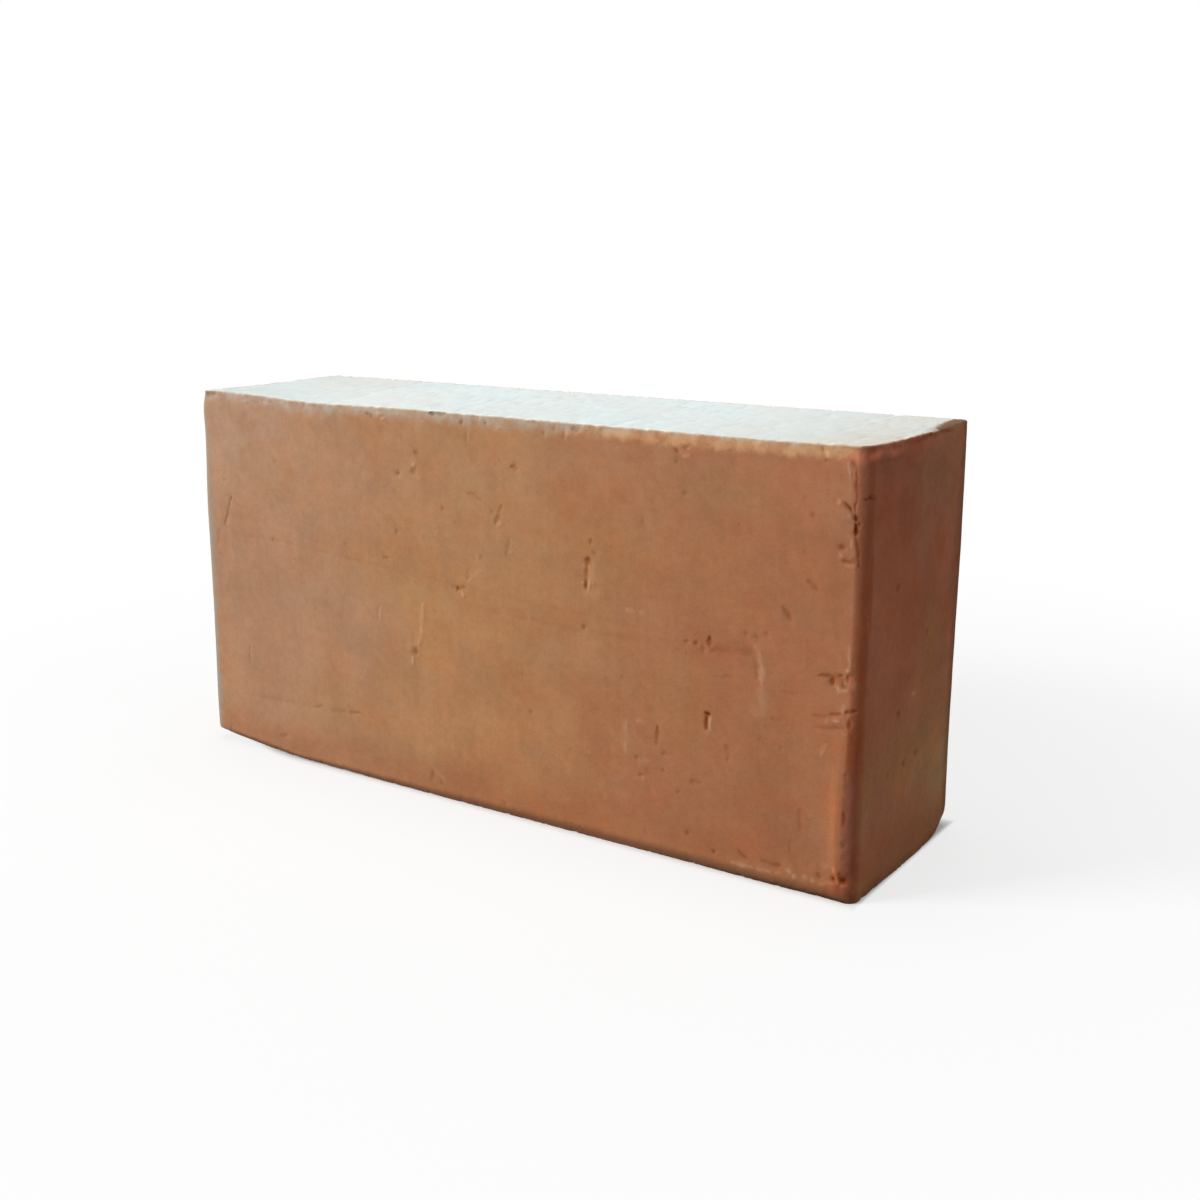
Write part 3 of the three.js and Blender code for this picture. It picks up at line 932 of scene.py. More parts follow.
# ---------------------------------------------------------------- the relief of the faces

# A span holds what remap takes: the two numbers between which a noise or a place takes effect, and
# where it isn't from 0 to 1, also from how much to how much.
BOW_PULL = (-1 / HALF_LENGTH, -1 / HALF_THICKNESS, 0.0)  # a bow draws the faces in, and leaves the height
DRAG_STRETCH = (1, 1, 14)
DRAG_SPAN = (0.4, 0.6)
TEAR_STRETCH = (1, 2.5, 1)
TEAR_SPAN = (0.42, 0.85)
CHIP_SPAN = (0.5, 0.7)
PIT_LEAST = 0.3  # the smallest pit's radius, as a share of the pit radius, and the largest's is 1 more
PIT_RARITY = 3.0  # the higher, the fewer large pits
PIT_FLATTENING = (0.35, 1.5)  # how much pits are drawn out or squeezed upright
PIT_RAGGED = 0.5 * MM
PIT_RAGGED_SIZE = 1.1 * MM

# Each input follows the setting of the same name.
RELIEF_INPUTS = (
    "Bow depth",
    "Bow size",
    "Lump depth",
    "Lump size",
    "Drag depth",
    "Drag width",
    "Tear depth",
    "Tear size",
    "Chip depth",
    "Chip size",
    "Pit depth",
    "Pit radius",
    "Pit density",
)


def named(graph, name):
    """A number kept on each point of the block."""
    return graph.node("GeometryNodeInputNamedAttribute", {"Name": name}, data_type="FLOAT").outputs[0]


def scattered_pits(graph, given, place):
    """How deep in a scattered pit each point is, from 0 outside to 1 or more at the bottom of a large one."""
    scatter = graph.node(
        "GeometryNodeDistributePointsOnFaces",
        {"Mesh": given["Geometry"], "Density": given["Pit density"], "Seed": given["Seed"]},
        distribute_method="RANDOM",
    ).outputs["Points"]
    looked_for = {"Geometry": scatter, "Sample Position": place}
    nearest = graph.node("GeometryNodeSampleNearest", looked_for).outputs[0]
    pit_place = graph.node(
        "GeometryNodeSampleIndex",
        {"Geometry": scatter, "Value": place, "Index": nearest},
        data_type="FLOAT_VECTOR",
    ).outputs[0]
    draws = graph.node(
        "FunctionNodeRandomValue", {"ID": nearest, "Seed": given["Seed"]}, data_type="FLOAT_VECTOR"
    ).outputs[0]
    draw = graph.node("ShaderNodeSeparateXYZ", {0: draws}).outputs
    size = graph.total(PIT_LEAST, graph.math("POWER", draw[0], PIT_RARITY))
    flattening = graph.remap(draw[1], 0.0, 1.0, *PIT_FLATTENING)
    stretch = graph.node("ShaderNodeCombineXYZ", {0: 1.0, 1: 1.0, 2: flattening}).outputs[0]
    ragged = graph.vector_math("SCALE", graph.vector_noise(place, PIT_RAGGED_SIZE), scale=PIT_RAGGED)
    apart = graph.vector_math("ADD", graph.vector_math("SUBTRACT", place, pit_place), ragged)
    gap = graph.vector_math("LENGTH", graph.vector_math("MULTIPLY", apart, stretch), output="Value")
    hollow = graph.remap(gap, 0.0, graph.product(given["Pit radius"], size), 1.0, 0.0)
    return graph.product(hollow, size)


def sunk_depth(graph, given, place, chip, pit):
    """How far each point sinks into its face: lumps and drag lines, tears on the cut faces, chips, pits."""
    wire_cut = named(graph, "wire_cut")
    lumps = graph.product(graph.noise(place, given["Lump size"], detail=3.0), given["Lump depth"])
    dragged = graph.noise(place, given["Drag width"], detail=3.0, roughness=0.6, stretch=DRAG_STRETCH)
    patches = graph.remap(graph.noise(place, given["Lump size"], detail=1.0), *DRAG_SPAN)
    drag = graph.product(dragged, patches, given["Drag depth"])
    sunk = graph.product(graph.total(lumps, drag), graph.math("SUBTRACT", 1.0, wire_cut))
    torn = graph.noise(place, given["Tear size"], detail=4.0, roughness=0.65, stretch=TEAR_STRETCH)
    tear = graph.product(graph.remap(torn, *TEAR_SPAN), given["Tear depth"], wire_cut)
    sunk = graph.total(sunk, tear)
    sunk = graph.total(sunk, graph.product(chip, given["Chip depth"]))
    return graph.total(sunk, graph.product(pit, given["Pit depth"]))


def relief_tree():
    """Geometry Nodes: bows, lumps, drag lines, wire tears, chipped arrises and scattered pits."""
    tree = bpy.data.node_groups.new("clay_relief", "GeometryNodeTree")
    graph = Graph(tree)
    tree.interface.new_socket("Geometry", in_out="INPUT", socket_type="NodeSocketGeometry")
    for name in RELIEF_INPUTS:
        tree.interface.new_socket(name, in_out="INPUT", socket_type="NodeSocketFloat")
    tree.interface.new_socket("Seed", in_out="INPUT", socket_type="NodeSocketInt")
    tree.interface.new_socket("Clay", in_out="INPUT", socket_type="NodeSocketMaterial")
    tree.interface.new_socket("Geometry", in_out="OUTPUT", socket_type="NodeSocketGeometry")
    given = graph.node("NodeGroupInput").outputs
    place = graph.node("GeometryNodeInputPosition").outputs[0]
    normal = graph.node("GeometryNodeInputNormal").outputs[0]

    bow = graph.product(graph.noise(place, given["Bow size"], detail=1.0), given["Bow depth"])
    bowed = graph.vector_math("SCALE", graph.vector_math("MULTIPLY", place, BOW_PULL), scale=bow)
    broken = graph.noise(place, given["Chip size"], detail=3.0, roughness=0.6)
    rubbed = graph.math("MAXIMUM", named(graph, "arris"), named(graph, "worn"))
    chip = graph.product(graph.remap(broken, *CHIP_SPAN), rubbed)
    pit = scattered_pits(graph, given, place)
    sunk = sunk_depth(graph, given, place, chip, pit)
    inward = graph.vector_math("SCALE", normal, scale=graph.product(sunk, -1.0))
    moved = {"Geometry": given["Geometry"], "Offset": graph.vector_math("ADD", bowed, inward)}
    shaped = graph.node("GeometryNodeSetPosition", moved).outputs[0]

    for name, amount in (("pit", pit), ("chip", chip), (KEPT_GROUP, named(graph, "held"))):
        shaped = graph.node(
            "GeometryNodeStoreNamedAttribute",
            {"Geometry": shaped, "Name": name, "Value": amount},
            data_type="FLOAT",
            domain="POINT",
        ).outputs[0]
    smooth = graph.node("GeometryNodeSetShadeSmooth", {"Geometry": shaped}).outputs[0]
    real = graph.node("GeometryNodeRealizeInstances", {"Geometry": smooth}).outputs[0]
    fired = graph.node("GeometryNodeSetMaterial", {"Geometry": real, "Material": given["Clay"]}).outputs[0]
    graph.node("NodeGroupOutput", {"Geometry": fired})
    return tree


def set_input(modifier, name, value):
    """Sets a modifier's input by the identifier of the socket with that name."""
    for socket in modifier.node_group.interface.items_tree:
        if socket.item_type == "SOCKET" and socket.in_out == "INPUT" and socket.name == name:
            modifier[socket.identifier] = value
            return
    raise KeyError(name)


# ---------------------------------------------------------------- the colours of the clay

TOP_HALF = (HEIGHT * 0.5, HEIGHT * 0.6)  # the heights over which what is laid on the top part comes in
OFF_HEADER = (HALF_LENGTH - 1 * MM, HALF_LENGTH - 3.5 * MM)  # 0 on the right header and 1 elsewhere

DRIFT_ALONG = 90 * MM  # how far the drift shifts the colours along the length
DRIFT_UP = 16 * MM
OCHRE_SPAN = (-75 * MM, -10 * MM)
RED_SPAN = (0.0, 70 * MM)
HEADER_SPAN = (HALF_LENGTH - 5 * MM, HALF_LENGTH - 2.5 * MM)
HEADER_LOW_SPAN = (65 * MM, 5 * MM, 0.0, 0.6)  # the low back part of the header is ochre too
HEADER_BACK_SPAN = (-20 * MM, 20 * MM)
FOOT_SPAN = (17 * MM, 4 * MM)
FOOT_RIGHTWARD = (-60 * MM, 0.0, 0.5, 0.9)


def body_colour(graph, place, axes, clay):
    """Rose with painted sheen at the left, ochre in the middle and red at the right, in drifting patches,
    with a red foot.
    """
    drift = graph.swing(place, 40 * MM, detail=3.0)
    across = graph.total(axes[0], graph.product(drift, DRIFT_ALONG))
    # The rose clay at the left carries the painted sheen of the key lamp
    colour = graph.mix(graph.remap(across, *OCHRE_SPAN), clay.rose_and_sheen, clay.ochre)
    colour = graph.mix(graph.remap(across, *RED_SPAN), colour, clay.red)
    header = graph.remap(axes[0], *HEADER_SPAN)
    colour = graph.mix(header, colour, clay.header)
    low_at_back = graph.product(
        header, graph.remap(axes[2], *HEADER_LOW_SPAN), graph.remap(axes[1], *HEADER_BACK_SPAN)
    )
    colour = graph.mix(low_at_back, colour, clay.ochre)
    height = graph.total(axes[2], graph.product(drift, DRIFT_UP))
    foot = graph.product(graph.remap(height, *FOOT_SPAN), graph.remap(axes[0], *FOOT_RIGHTWARD))
    return graph.mix(foot, colour, clay.foot)


class Mottle(NamedTuple):
    """A layer of lighter and darker clay."""

    size: float  # width of its lumps
    depth: float  # how far it lightens and darkens the clay
    roughness: float
    detail: float = 3.0
    span: tuple = (0.3, 0.7)
    stretch: tuple = EVEN


CLOUDS = Mottle(16 * MM, 0.065, 0.6)
SMUDGES = Mottle(2.6 * MM, 0.045, 0.65)
STREAKS = Mottle(2.5 * MM, 0.015, 0.6, 2.0, (0.35, 0.65), (1, 1, 12))
GRAIN = Mottle(0.7 * MM, 0.04, 0.7, 2.0, (0.25, 0.75))
BLUSH_SPAN = (0.44, 0.75)
BLUSHES = ((14 * MM, 0.65), (5 * MM, 0.3))  # width of the blushes in each layer, and how strong they are
COOL_SHIFT = (0.31, 0.17, 0.23)  # how far off the cool blushes read their noise, to miss the warm ones
WARM_TONE = (1.07, 0.93, 0.83, 1)
COOL_TONE = (0.96, 1.04, 1.12, 1)


def shade(graph, colour, amount, darkest, palest):
    """Multiplies a colour by a grey that runs from darkest to palest as amount goes from 0 to 1."""
    grey = graph.mix(amount, (darkest, darkest, darkest, 1), (palest, palest, palest, 1))
    return graph.tone(1.0, colour, grey)


def mottled(graph, colour, place):
    """Clouds, warm and cool blushes, smudges, faint upright streaks and grain."""
    for size, strength in BLUSHES:
        for tone, shift in ((WARM_TONE, None), (COOL_TONE, COOL_SHIFT)):
            at = graph.vector_math("ADD", place, shift) if shift else place
            blush = graph.noise(at, size, detail=3.0, roughness=0.6)
            colour = graph.tone(graph.remap(blush, *BLUSH_SPAN, 0.0, strength), colour, tone)
    for layer in (CLOUDS, SMUDGES, STREAKS, GRAIN):
        drawn = graph.noise(place, layer.size, layer.detail, layer.roughness, layer.stretch)
        amount = graph.remap(drawn, *layer.span)
        colour = shade(graph, colour, amount, 1 - layer.depth, 1 + layer.depth)
    return colour, drawn


SPECK_SPAN = (0.70, 0.78, 0.0, 0.18)
STAIN_AND_LIGHT_STRENGTH = 1.42
SCUFF_AND_HIGHLIGHT_STRENGTH = 0.8
# Scattered pits get dirt and painted shade by this much
PIT_STAIN_AND_SHADE = 0.2
BLACK_SPAN = (0.95, 0.6)  # the stains between which the painted shade in a hollow turns from nearly black to coloured
BLACK_SHADE = 0.4
CRUMB_SPAN = (0.4, 0.6)
CHIP_STRENGTH = 0.5


def stained_and_shaded(graph, colour, place, kept, clay):
    """Hollows darkened by dirt and painted shade, pale scuffs with painted highlight on raised lips, specks
    and chipped arrises.
    """
    specks = graph.remap(graph.noise(place, 1.4 * MM, detail=1.0), *SPECK_SPAN)
    # The stain darkens hollows with dirt and painted shade, and pales raised lips with scuffs and painted
    # highlight
    stain_and_painted_light = graph.product(kept["stain_and_painted_light"], STAIN_AND_LIGHT_STRENGTH)
    dark = graph.math("MAXIMUM", graph.product(kept["pit"], PIT_STAIN_AND_SHADE), stain_and_painted_light)
    colour = graph.tone(graph.math("MAXIMUM", dark, specks), colour, clay.hollow)
    colour = shade(graph, colour, graph.remap(kept["stain_and_painted_light"], *BLACK_SPAN), BLACK_SHADE, 1.0)
    pale = graph.math("MAXIMUM", graph.product(kept["stain_and_painted_light"], -SCUFF_AND_HIGHLIGHT_STRENGTH), 0.0)
    colour = graph.mix(pale, colour, clay.scuff_and_highlight)
    crumbs = graph.noise(place, 1.2 * MM, roughness=0.6)
    fresh = graph.mix(graph.remap(crumbs, *CRUMB_SPAN), clay.broken, clay.scuff_and_highlight)
    return graph.mix(graph.product(kept["chip"], CHIP_STRENGTH), colour, fresh)


DUST_AND_LIGHT_CLOUDS = (0.3, 0.65, 0.35, 1.25)
# The pale film comes in up the height and along the length.
FILM_HEIGHT = (HEIGHT - 45 * MM, HEIGHT)
FILM_LEFTWARD = (-40 * MM, -HALF_LENGTH, 0.02, 0.09)
# The painted golden highlight and the grey dust under the upper arris
UPPER_END = (HALF_LENGTH - 2.2 * MM, HALF_LENGTH - 5 * MM)  # they stop short of the right header
GOLD_RIGHTWARD = (15 * MM, 50 * MM)
GOLD_BELOW = (-4.4 * MM, -1.8 * MM, 0.0, 0.34)  # how far under the upper arris it lies
HAZE_REACH = (15 * MM, 65 * MM, 5.0 * MM, 2.0 * MM)  # how far down the grey dust runs, along the length
HAZE_START = 0.2 * MM
HAZE_STRENGTH = 0.5
DUST_AND_HIGHLIGHT_RAGGED = 3.8 * MM
# The strip of painted sheen on the left front arris, and the painted shade behind it
STRIP_WIDTH = (20 * MM, 70 * MM, 3.9 * MM, 6.4 * MM)  # how far from the end it reaches, up the height
STRIP_CORE = 1.6 * MM  # how near the end it is thickest
STRIP_STRENGTH = 0.85
STRIP_FOOT = (4 * MM, 14 * MM, 0.45, 1.0)
EDGE_TURN = (0.2, 0.42)  # the turns over which the painted shade comes in
EDGE_HEIGHT = (78 * MM, 66 * MM, 0.0, 0.5)


def left_arris_sheen_and_shade(graph, colour, axes, kept, clay, patchy):
    """Painted grey sheen down the left front arris, and painted shade behind it."""
    from_end = graph.total(axes[0], HALF_LENGTH)
    strip = graph.remap(from_end, graph.remap(axes[2], *STRIP_WIDTH), STRIP_CORE, 0.0, STRIP_STRENGTH)
    strip = graph.product(kept["left_front"], graph.product(strip, graph.remap(axes[2], *STRIP_FOOT)))
    colour = graph.mix(graph.product(strip, patchy), colour, clay.left_arris_sheen)
    edge = graph.product(graph.remap(kept["turn"], *EDGE_TURN), kept["left_front"])
    return graph.mix(graph.product(edge, graph.remap(axes[2], *EDGE_HEIGHT)), colour, clay.painted_shade)


def dust_and_painted_light(graph, colour, place, axes, kept, clay):
    """A film of dust pale high on the left, grey dust and a painted golden highlight under the upper arris,
    and painted sheen and shade on the left front arris.
    """
    patchy = graph.remap(graph.noise(place, 8 * MM, detail=4.0, roughness=0.65), *DUST_AND_LIGHT_CLOUDS)
    film = graph.product(graph.remap(axes[2], *FILM_HEIGHT), graph.remap(axes[0], *FILM_LEFTWARD))
    colour = graph.mix(graph.product(film, patchy), colour, clay.dust)

    upper = graph.product(graph.remap(axes[2], *TOP_HALF), patchy)
    upper = graph.product(upper, graph.remap(axes[0], *UPPER_END))
    ragged = graph.swing(place, 4 * MM, detail=4.0, roughness=0.65)
    ragged_rim = graph.total(kept["rim"], graph.product(ragged, DUST_AND_HIGHLIGHT_RAGGED))
    # Painted highlight where the rounded upper arris catches the light
    golden = graph.product(upper, graph.remap(axes[0], *GOLD_RIGHTWARD))
    golden = graph.product(golden, graph.remap(ragged_rim, *GOLD_BELOW))
    colour = graph.mix(golden, colour, clay.gold_highlight)
    down = graph.math("SUBTRACT", HAZE_START, ragged_rim)
    down = graph.math("DIVIDE", down, graph.remap(axes[0], *HAZE_REACH))
    haze = graph.product(upper, graph.remap(down, 1.0, 0.0, 0.0, HAZE_STRENGTH))
    colour = graph.mix(haze, colour, clay.grey_dust)
    return left_arris_sheen_and_shade(graph, colour, axes, kept, clay, patchy)


# Painted shade along the base, where the brick meets the floor
BASE_SHADE_CLOUDS = (0.3, 0.7, 0.5, 1.0)
BASE_SHADE_REACH = (-100 * MM, 60 * MM, 1.9 * MM, 3.7 * MM)  # how far up it runs, along the length
BASE_SHADE_HEIGHT = (1.0, 0.25, 0.0, 0.86)  # the shares of that reach between which it comes in
BASE_SHADE_LEFT_END = (-113 * MM, -104 * MM, 0.25, 1.0)
BASE_SHADE_ON_BASE = (0.5 * MM, 3.0 * MM, 1.0, 0.2)  # how it thins out under the brick
BASE_SHADE_ON_HEADER = 0.5
# Painted contact shadow right over the ground, stronger to the right
CONTACT_SHADOW_HEIGHT = (1.5 * MM, 0.4 * MM)
CONTACT_SHADOW_RIGHTWARD = (40 * MM, 112 * MM, 0.0, 0.75)
LINE_BELOW = 0.8 * MM  # how far under the upper arris the thin line of painted shade runs
LINE_WIDTH = (0.6 * MM, 0.1 * MM)
LINE_RIGHTWARD = (95 * MM, 108 * MM, 0.03, 0.24)


def with_painted_shade(graph, colour, place, axes, kept, clay):
    """Painted shade along the base, thicker to the right, a painted contact shadow right over the ground, and
    a thin line of painted shade right under the bloom.
    """
    patchy = graph.remap(graph.noise(place, 5 * MM, detail=3.0, roughness=0.6), *BASE_SHADE_CLOUDS)
    off_header = graph.remap(axes[0], *OFF_HEADER)
    height = graph.math("DIVIDE", kept["over_base"], graph.remap(axes[0], *BASE_SHADE_REACH))
    low = graph.product(graph.remap(height, *BASE_SHADE_HEIGHT), graph.remap(axes[0], *BASE_SHADE_LEFT_END))
    low = graph.product(low, graph.remap(kept["rim"], *BASE_SHADE_ON_BASE))
    on_header = graph.math("MULTIPLY_ADD", off_header, 1 - BASE_SHADE_ON_HEADER, BASE_SHADE_ON_HEADER)
    colour = graph.mix(graph.product(low, on_header), colour, clay.painted_shade)
    contact_shadow = graph.product(graph.remap(kept["over_base"], *CONTACT_SHADOW_HEIGHT), graph.remap(axes[0], *CONTACT_SHADOW_RIGHTWARD))
    colour = graph.tone(graph.product(contact_shadow, off_header), colour, clay.contact_shadow)
    off_line = graph.math("ABSOLUTE", graph.total(kept["rim"], LINE_BELOW))
    line = graph.product(graph.remap(axes[0], *LINE_RIGHTWARD), off_header, graph.remap(axes[2], *TOP_HALF))
    line = graph.product(line, graph.remap(off_line, *LINE_WIDTH), patchy)
    return graph.mix(line, colour, clay.painted_shade)


# The pale top is partly a chalky bloom and partly painted glare of bright light at a grazing angle
GLARE_BLOOM_RAGGED = 1.4 * MM
GLARE_BLOOM_INSET = (-70 * MM, -40 * MM, 0.8 * MM, 0.42 * MM)  # how far in it ends, along the length
GLARE_BLOOM_SOFTNESS = (-60 * MM, -10 * MM, 1.2 * MM, 0.95 * MM)  # how gradually
BARE_CORNER = (HALF_LENGTH, HALF_THICKNESS, HEIGHT)  # the corner that it leaves bare
BARE_REACH = (4.4 * MM, 22.0 * MM, 7.0 * MM)
BARE_RAGGED = 0.6
BARE_SPAN = (0.84, 1.16)  # the shares of that reach between which the bloom comes in
BARE_TINT_SPAN = (1.2, 0.9, 0.0, 0.9)
WORN_CORNER = (-HALF_LENGTH, -HALF_THICKNESS, HEIGHT)  # a corner where it is rubbed off
WORN_SPAN = (2 * MM, 7 * MM)
WORN_RAGGED = 6 * MM
THIN_STRETCH = (1.6, 1, 1)
THIN_SPAN = (0.30, 0.55, 0.93, 1.0)  # where the bloom is thin, and how much it still covers
GAP_SPAN = (0.15, 0.5, 1.0, 0.1)  # how marks break it
TOP_SIDE = (-0.8 * MM, 0.2 * MM)
WARM_GLARE_BLOOM_SPAN = (0.35, 0.65)
EDGE_SPAN = (3.0 * MM, 0.8 * MM, 0.0, 0.8)  # how far in from the arrises the painted cream highlight along the edge reaches
# Three shades of the pale bloom and its painted glare: towards both ends, at the right end, and along the far
# arris
ENDS_SPAN = (40 * MM, 108 * MM)
ENDS_TONE = (0.95, 0.925, 0.91, 1)
RIGHT_SPAN = (80 * MM, 112 * MM)
RIGHT_NEARWARD = (10 * MM, -24 * MM, 0.5, 1.0)
RIGHT_TONE = (0.96, 0.91, 0.86, 1)
FAR_SPAN = (HALF_THICKNESS - 2.2 * MM, HALF_THICKNESS - 0.8 * MM, 0.0, 0.5)
FAR_TONE = (0.93, 0.93, 0.92, 1)


def bloom_and_glare_colour(graph, place, axes, kept, clay):
    """The colour of the pale bloom and its painted glare, with a painted cream highlight at its edge, duller
    towards the ends and the far arris.
    """
    drift = graph.noise(place, 30 * MM)
    tint_and_painted_light = graph.mix(graph.remap(drift, *WARM_GLARE_BLOOM_SPAN), clay.bloom_and_glare, clay.warm_bloom_and_glare)
    tint_and_painted_light = graph.mix(graph.remap(kept["rim"], *EDGE_SPAN), tint_and_painted_light, clay.bloom_edge_highlight)
    outward = graph.remap(graph.math("ABSOLUTE", axes[0]), *ENDS_SPAN)
    tint_and_painted_light = graph.tone(outward, tint_and_painted_light, ENDS_TONE)
    right_end = graph.product(graph.remap(axes[0], *RIGHT_SPAN), graph.remap(axes[1], *RIGHT_NEARWARD))
    tint_and_painted_light = graph.tone(right_end, tint_and_painted_light, RIGHT_TONE)
    return graph.tone(graph.remap(axes[1], *FAR_SPAN), tint_and_painted_light, FAR_TONE)


def bloomed_with_glare(graph, colour, place, axes, kept, clay):
    """The pale top: a chalky bloom with painted glare of bright light across it, thinning out raggedly at the
    arrises and in two corners.
    """
    upward = graph.remap(axes[2], *TOP_HALF)
    ragged = graph.swing(place, 3 * MM, detail=4.0, roughness=0.65)
    inside = graph.total(kept["rim"], graph.product(ragged, GLARE_BLOOM_RAGGED))
    inside = graph.math("SUBTRACT", inside, graph.remap(axes[0], *GLARE_BLOOM_INSET))
    inside = graph.math("DIVIDE", inside, graph.remap(axes[0], *GLARE_BLOOM_SOFTNESS))
    edge = graph.remap(inside, -1.0, 1.0)
    from_bare = graph.vector_math("SUBTRACT", place, BARE_CORNER)
    from_bare = graph.vector_math("DIVIDE", from_bare, BARE_REACH)
    from_bare = graph.vector_math("LENGTH", from_bare, output="Value")
    from_bare = graph.total(from_bare, graph.product(ragged, BARE_RAGGED))
    from_worn = graph.vector_math("DISTANCE", place, WORN_CORNER, output="Value")
    from_worn = graph.total(from_worn, graph.product(ragged, WORN_RAGGED))
    corners = graph.product(graph.remap(from_bare, *BARE_SPAN), graph.remap(from_worn, *WORN_SPAN))
    thin = graph.noise(place, 14 * MM, detail=4.0, roughness=0.6, stretch=THIN_STRETCH)
    gap = graph.remap(kept["stain_and_painted_light"], *GAP_SPAN)
    cover = graph.product(upward, edge, corners, graph.remap(thin, *THIN_SPAN), gap)

    bare = graph.product(upward, graph.remap(from_bare, *BARE_TINT_SPAN))
    bare = graph.product(bare, graph.remap(kept["rim"], *TOP_SIDE))
    colour = graph.mix(bare, colour, clay.bare)
    return graph.mix(cover, colour, bloom_and_glare_colour(graph, place, axes, kept, clay))


KEPT_NUMBERS = ("stain_and_painted_light", "pit", "chip", "rim", "over_base", "left_front", "turn")
GLOSS = 0.12
ROUGHNESS_SPAN = (0.3, 0.7, 0.8, 0.95)


def clay_material(clay):
    """Fired clay: drifting colours with painted sheen at the left, grain, hollows with painted shade, dust,
    painted highlights, sheen and shade, and a chalky bloom with painted glare on the top.
    """
    material = bpy.data.materials.new("fired_clay")
    material.use_nodes = True
    material.node_tree.nodes.clear()
    graph = Graph(material.node_tree)
    place = graph.node("ShaderNodeTexCoord").outputs["Object"]
    axes = graph.node("ShaderNodeSeparateXYZ", {0: place}).outputs
    kept = {
        name: graph.node("ShaderNodeAttribute", attribute_name=name).outputs["Fac"] for name in KEPT_NUMBERS
    }
    tint_and_painted_light = graph.node("ShaderNodeAttribute", attribute_name="tint_and_painted_light").outputs["Color"]
    colour = body_colour(graph, place, axes, clay)
    # Patches of clay, with painted highlights, and painted shade round the right header's arrises
    colour = graph.tone(1.0, colour, tint_and_painted_light)
    colour, grain = mottled(graph, colour, place)
    colour = stained_and_shaded(graph, colour, place, kept, clay)
    for layer in (dust_and_painted_light, with_painted_shade, bloomed_with_glare):
        colour = layer(graph, colour, place, axes, kept, clay)

    fine = graph.total(grain, graph.noise(place, 0.3 * MM, roughness=0.6))
    bump = graph.node("ShaderNodeBump", {"Height": fine, "Distance": clay.grain_height, "Strength": 1.0})
    roughness = graph.remap(graph.noise(place, 12 * MM, detail=3.0), *ROUGHNESS_SPAN)
    shader = graph.node(
        "ShaderNodeBsdfPrincipled",
        {
            "Base Color": colour,
            "Roughness": roughness,
            "Specular IOR Level": GLOSS,
            "Normal": bump.outputs[0],
        },
    )
    graph.node("ShaderNodeOutputMaterial", {"Surface": shader.outputs[0]})
    return material


# ---------------------------------------------------------------- the studio floor

FLOOR_REACH = 8.0
# How far the floor is seen as plain white, and not as it is lit: the rest is what keeps the soft shadow
WHITE_NEAR = (-1 * MM, 3.5 * MM, 0.12, 0.74)  # right beside the brick
WHITE_FAR = (0.12, 0.4, 0.0, 0.28)  # and so much more farther off
END_STEEPNESS = 2.5  # how much quicker it turns white off the ends than off the beds
WORN_SHIFT = (-HALF_LENGTH + 36 * MM, -HALF_LENGTH, 0.0, 9 * MM)  # how the worn corner moves that inwards


def seen_by_camera(graph):
    """1 for what the camera, a gloss or a glass sees, and 0 for the light that the brick gets."""
    path = graph.node("ShaderNodeLightPath").outputs
    seen = graph.math("MAXIMUM", path["Is Camera Ray"], path["Is Glossy Ray"])
    return graph.math("MAXIMUM", seen, path["Is Transmission Ray"])


def floor_material(studio):
    """A pale floor that looks bright and lights the brick only softly."""
    material = bpy.data.materials.new("studio_floor")
    material.use_nodes = True
    material.node_tree.nodes.clear()
    graph = Graph(material.node_tree)
    seen = seen_by_camera(graph)
    colour_seen = graph.mix(seen, studio.floor_bounce, studio.floor_colour)
    lit = graph.node("ShaderNodeBsdfDiffuse", {"Color": colour_seen}).outputs[0]
    white = graph.node("ShaderNodeEmission", {"Color": (1, 1, 1, 1), "Strength": 1.0}).outputs[0]
    place = graph.node("ShaderNodeTexCoord").outputs["Object"]
    axes = graph.node("ShaderNodeSeparateXYZ", {0: place}).outputs
    past_end = graph.math("SUBTRACT", graph.math("ABSOLUTE", axes[0]), HALF_LENGTH)
    past_end = graph.product(past_end, END_STEEPNESS)
    past_bed = graph.math("SUBTRACT", graph.math("ABSOLUTE", axes[1]), HALF_THICKNESS)
    past_bed = graph.total(past_bed, graph.remap(axes[0], *WORN_SHIFT))
    near = graph.remap(graph.math("MAXIMUM", past_end, past_bed), *WHITE_NEAR)
    far = graph.remap(graph.vector_math("LENGTH", place, output="Value"), *WHITE_FAR)
    share = graph.product(seen, graph.total(near, far))
    shader = graph.node("ShaderNodeMixShader", {0: share, 1: lit, 2: white})
    graph.node("ShaderNodeOutputMaterial", {"Surface": shader.outputs[0]})
    return material


# ---------------------------------------------------------------- settings

# Short ways to write a setting of each kind


def length(name, description, default):
    return FloatProperty(name=name, description=description, default=default, unit="LENGTH", precision=5)


def along_axes(name, description, default):
    return FloatVectorProperty(name=name, description=description, default=default, subtype="XYZ_LENGTH")


def power(name, description, default):
    return FloatProperty(name=name, description=description, default=default, unit="POWER")


def colour(name, description, default):
    return FloatVectorProperty(
        name=name, description=description, default=(*default, 1.0), size=4, min=0, max=1, subtype="COLOR"
    )


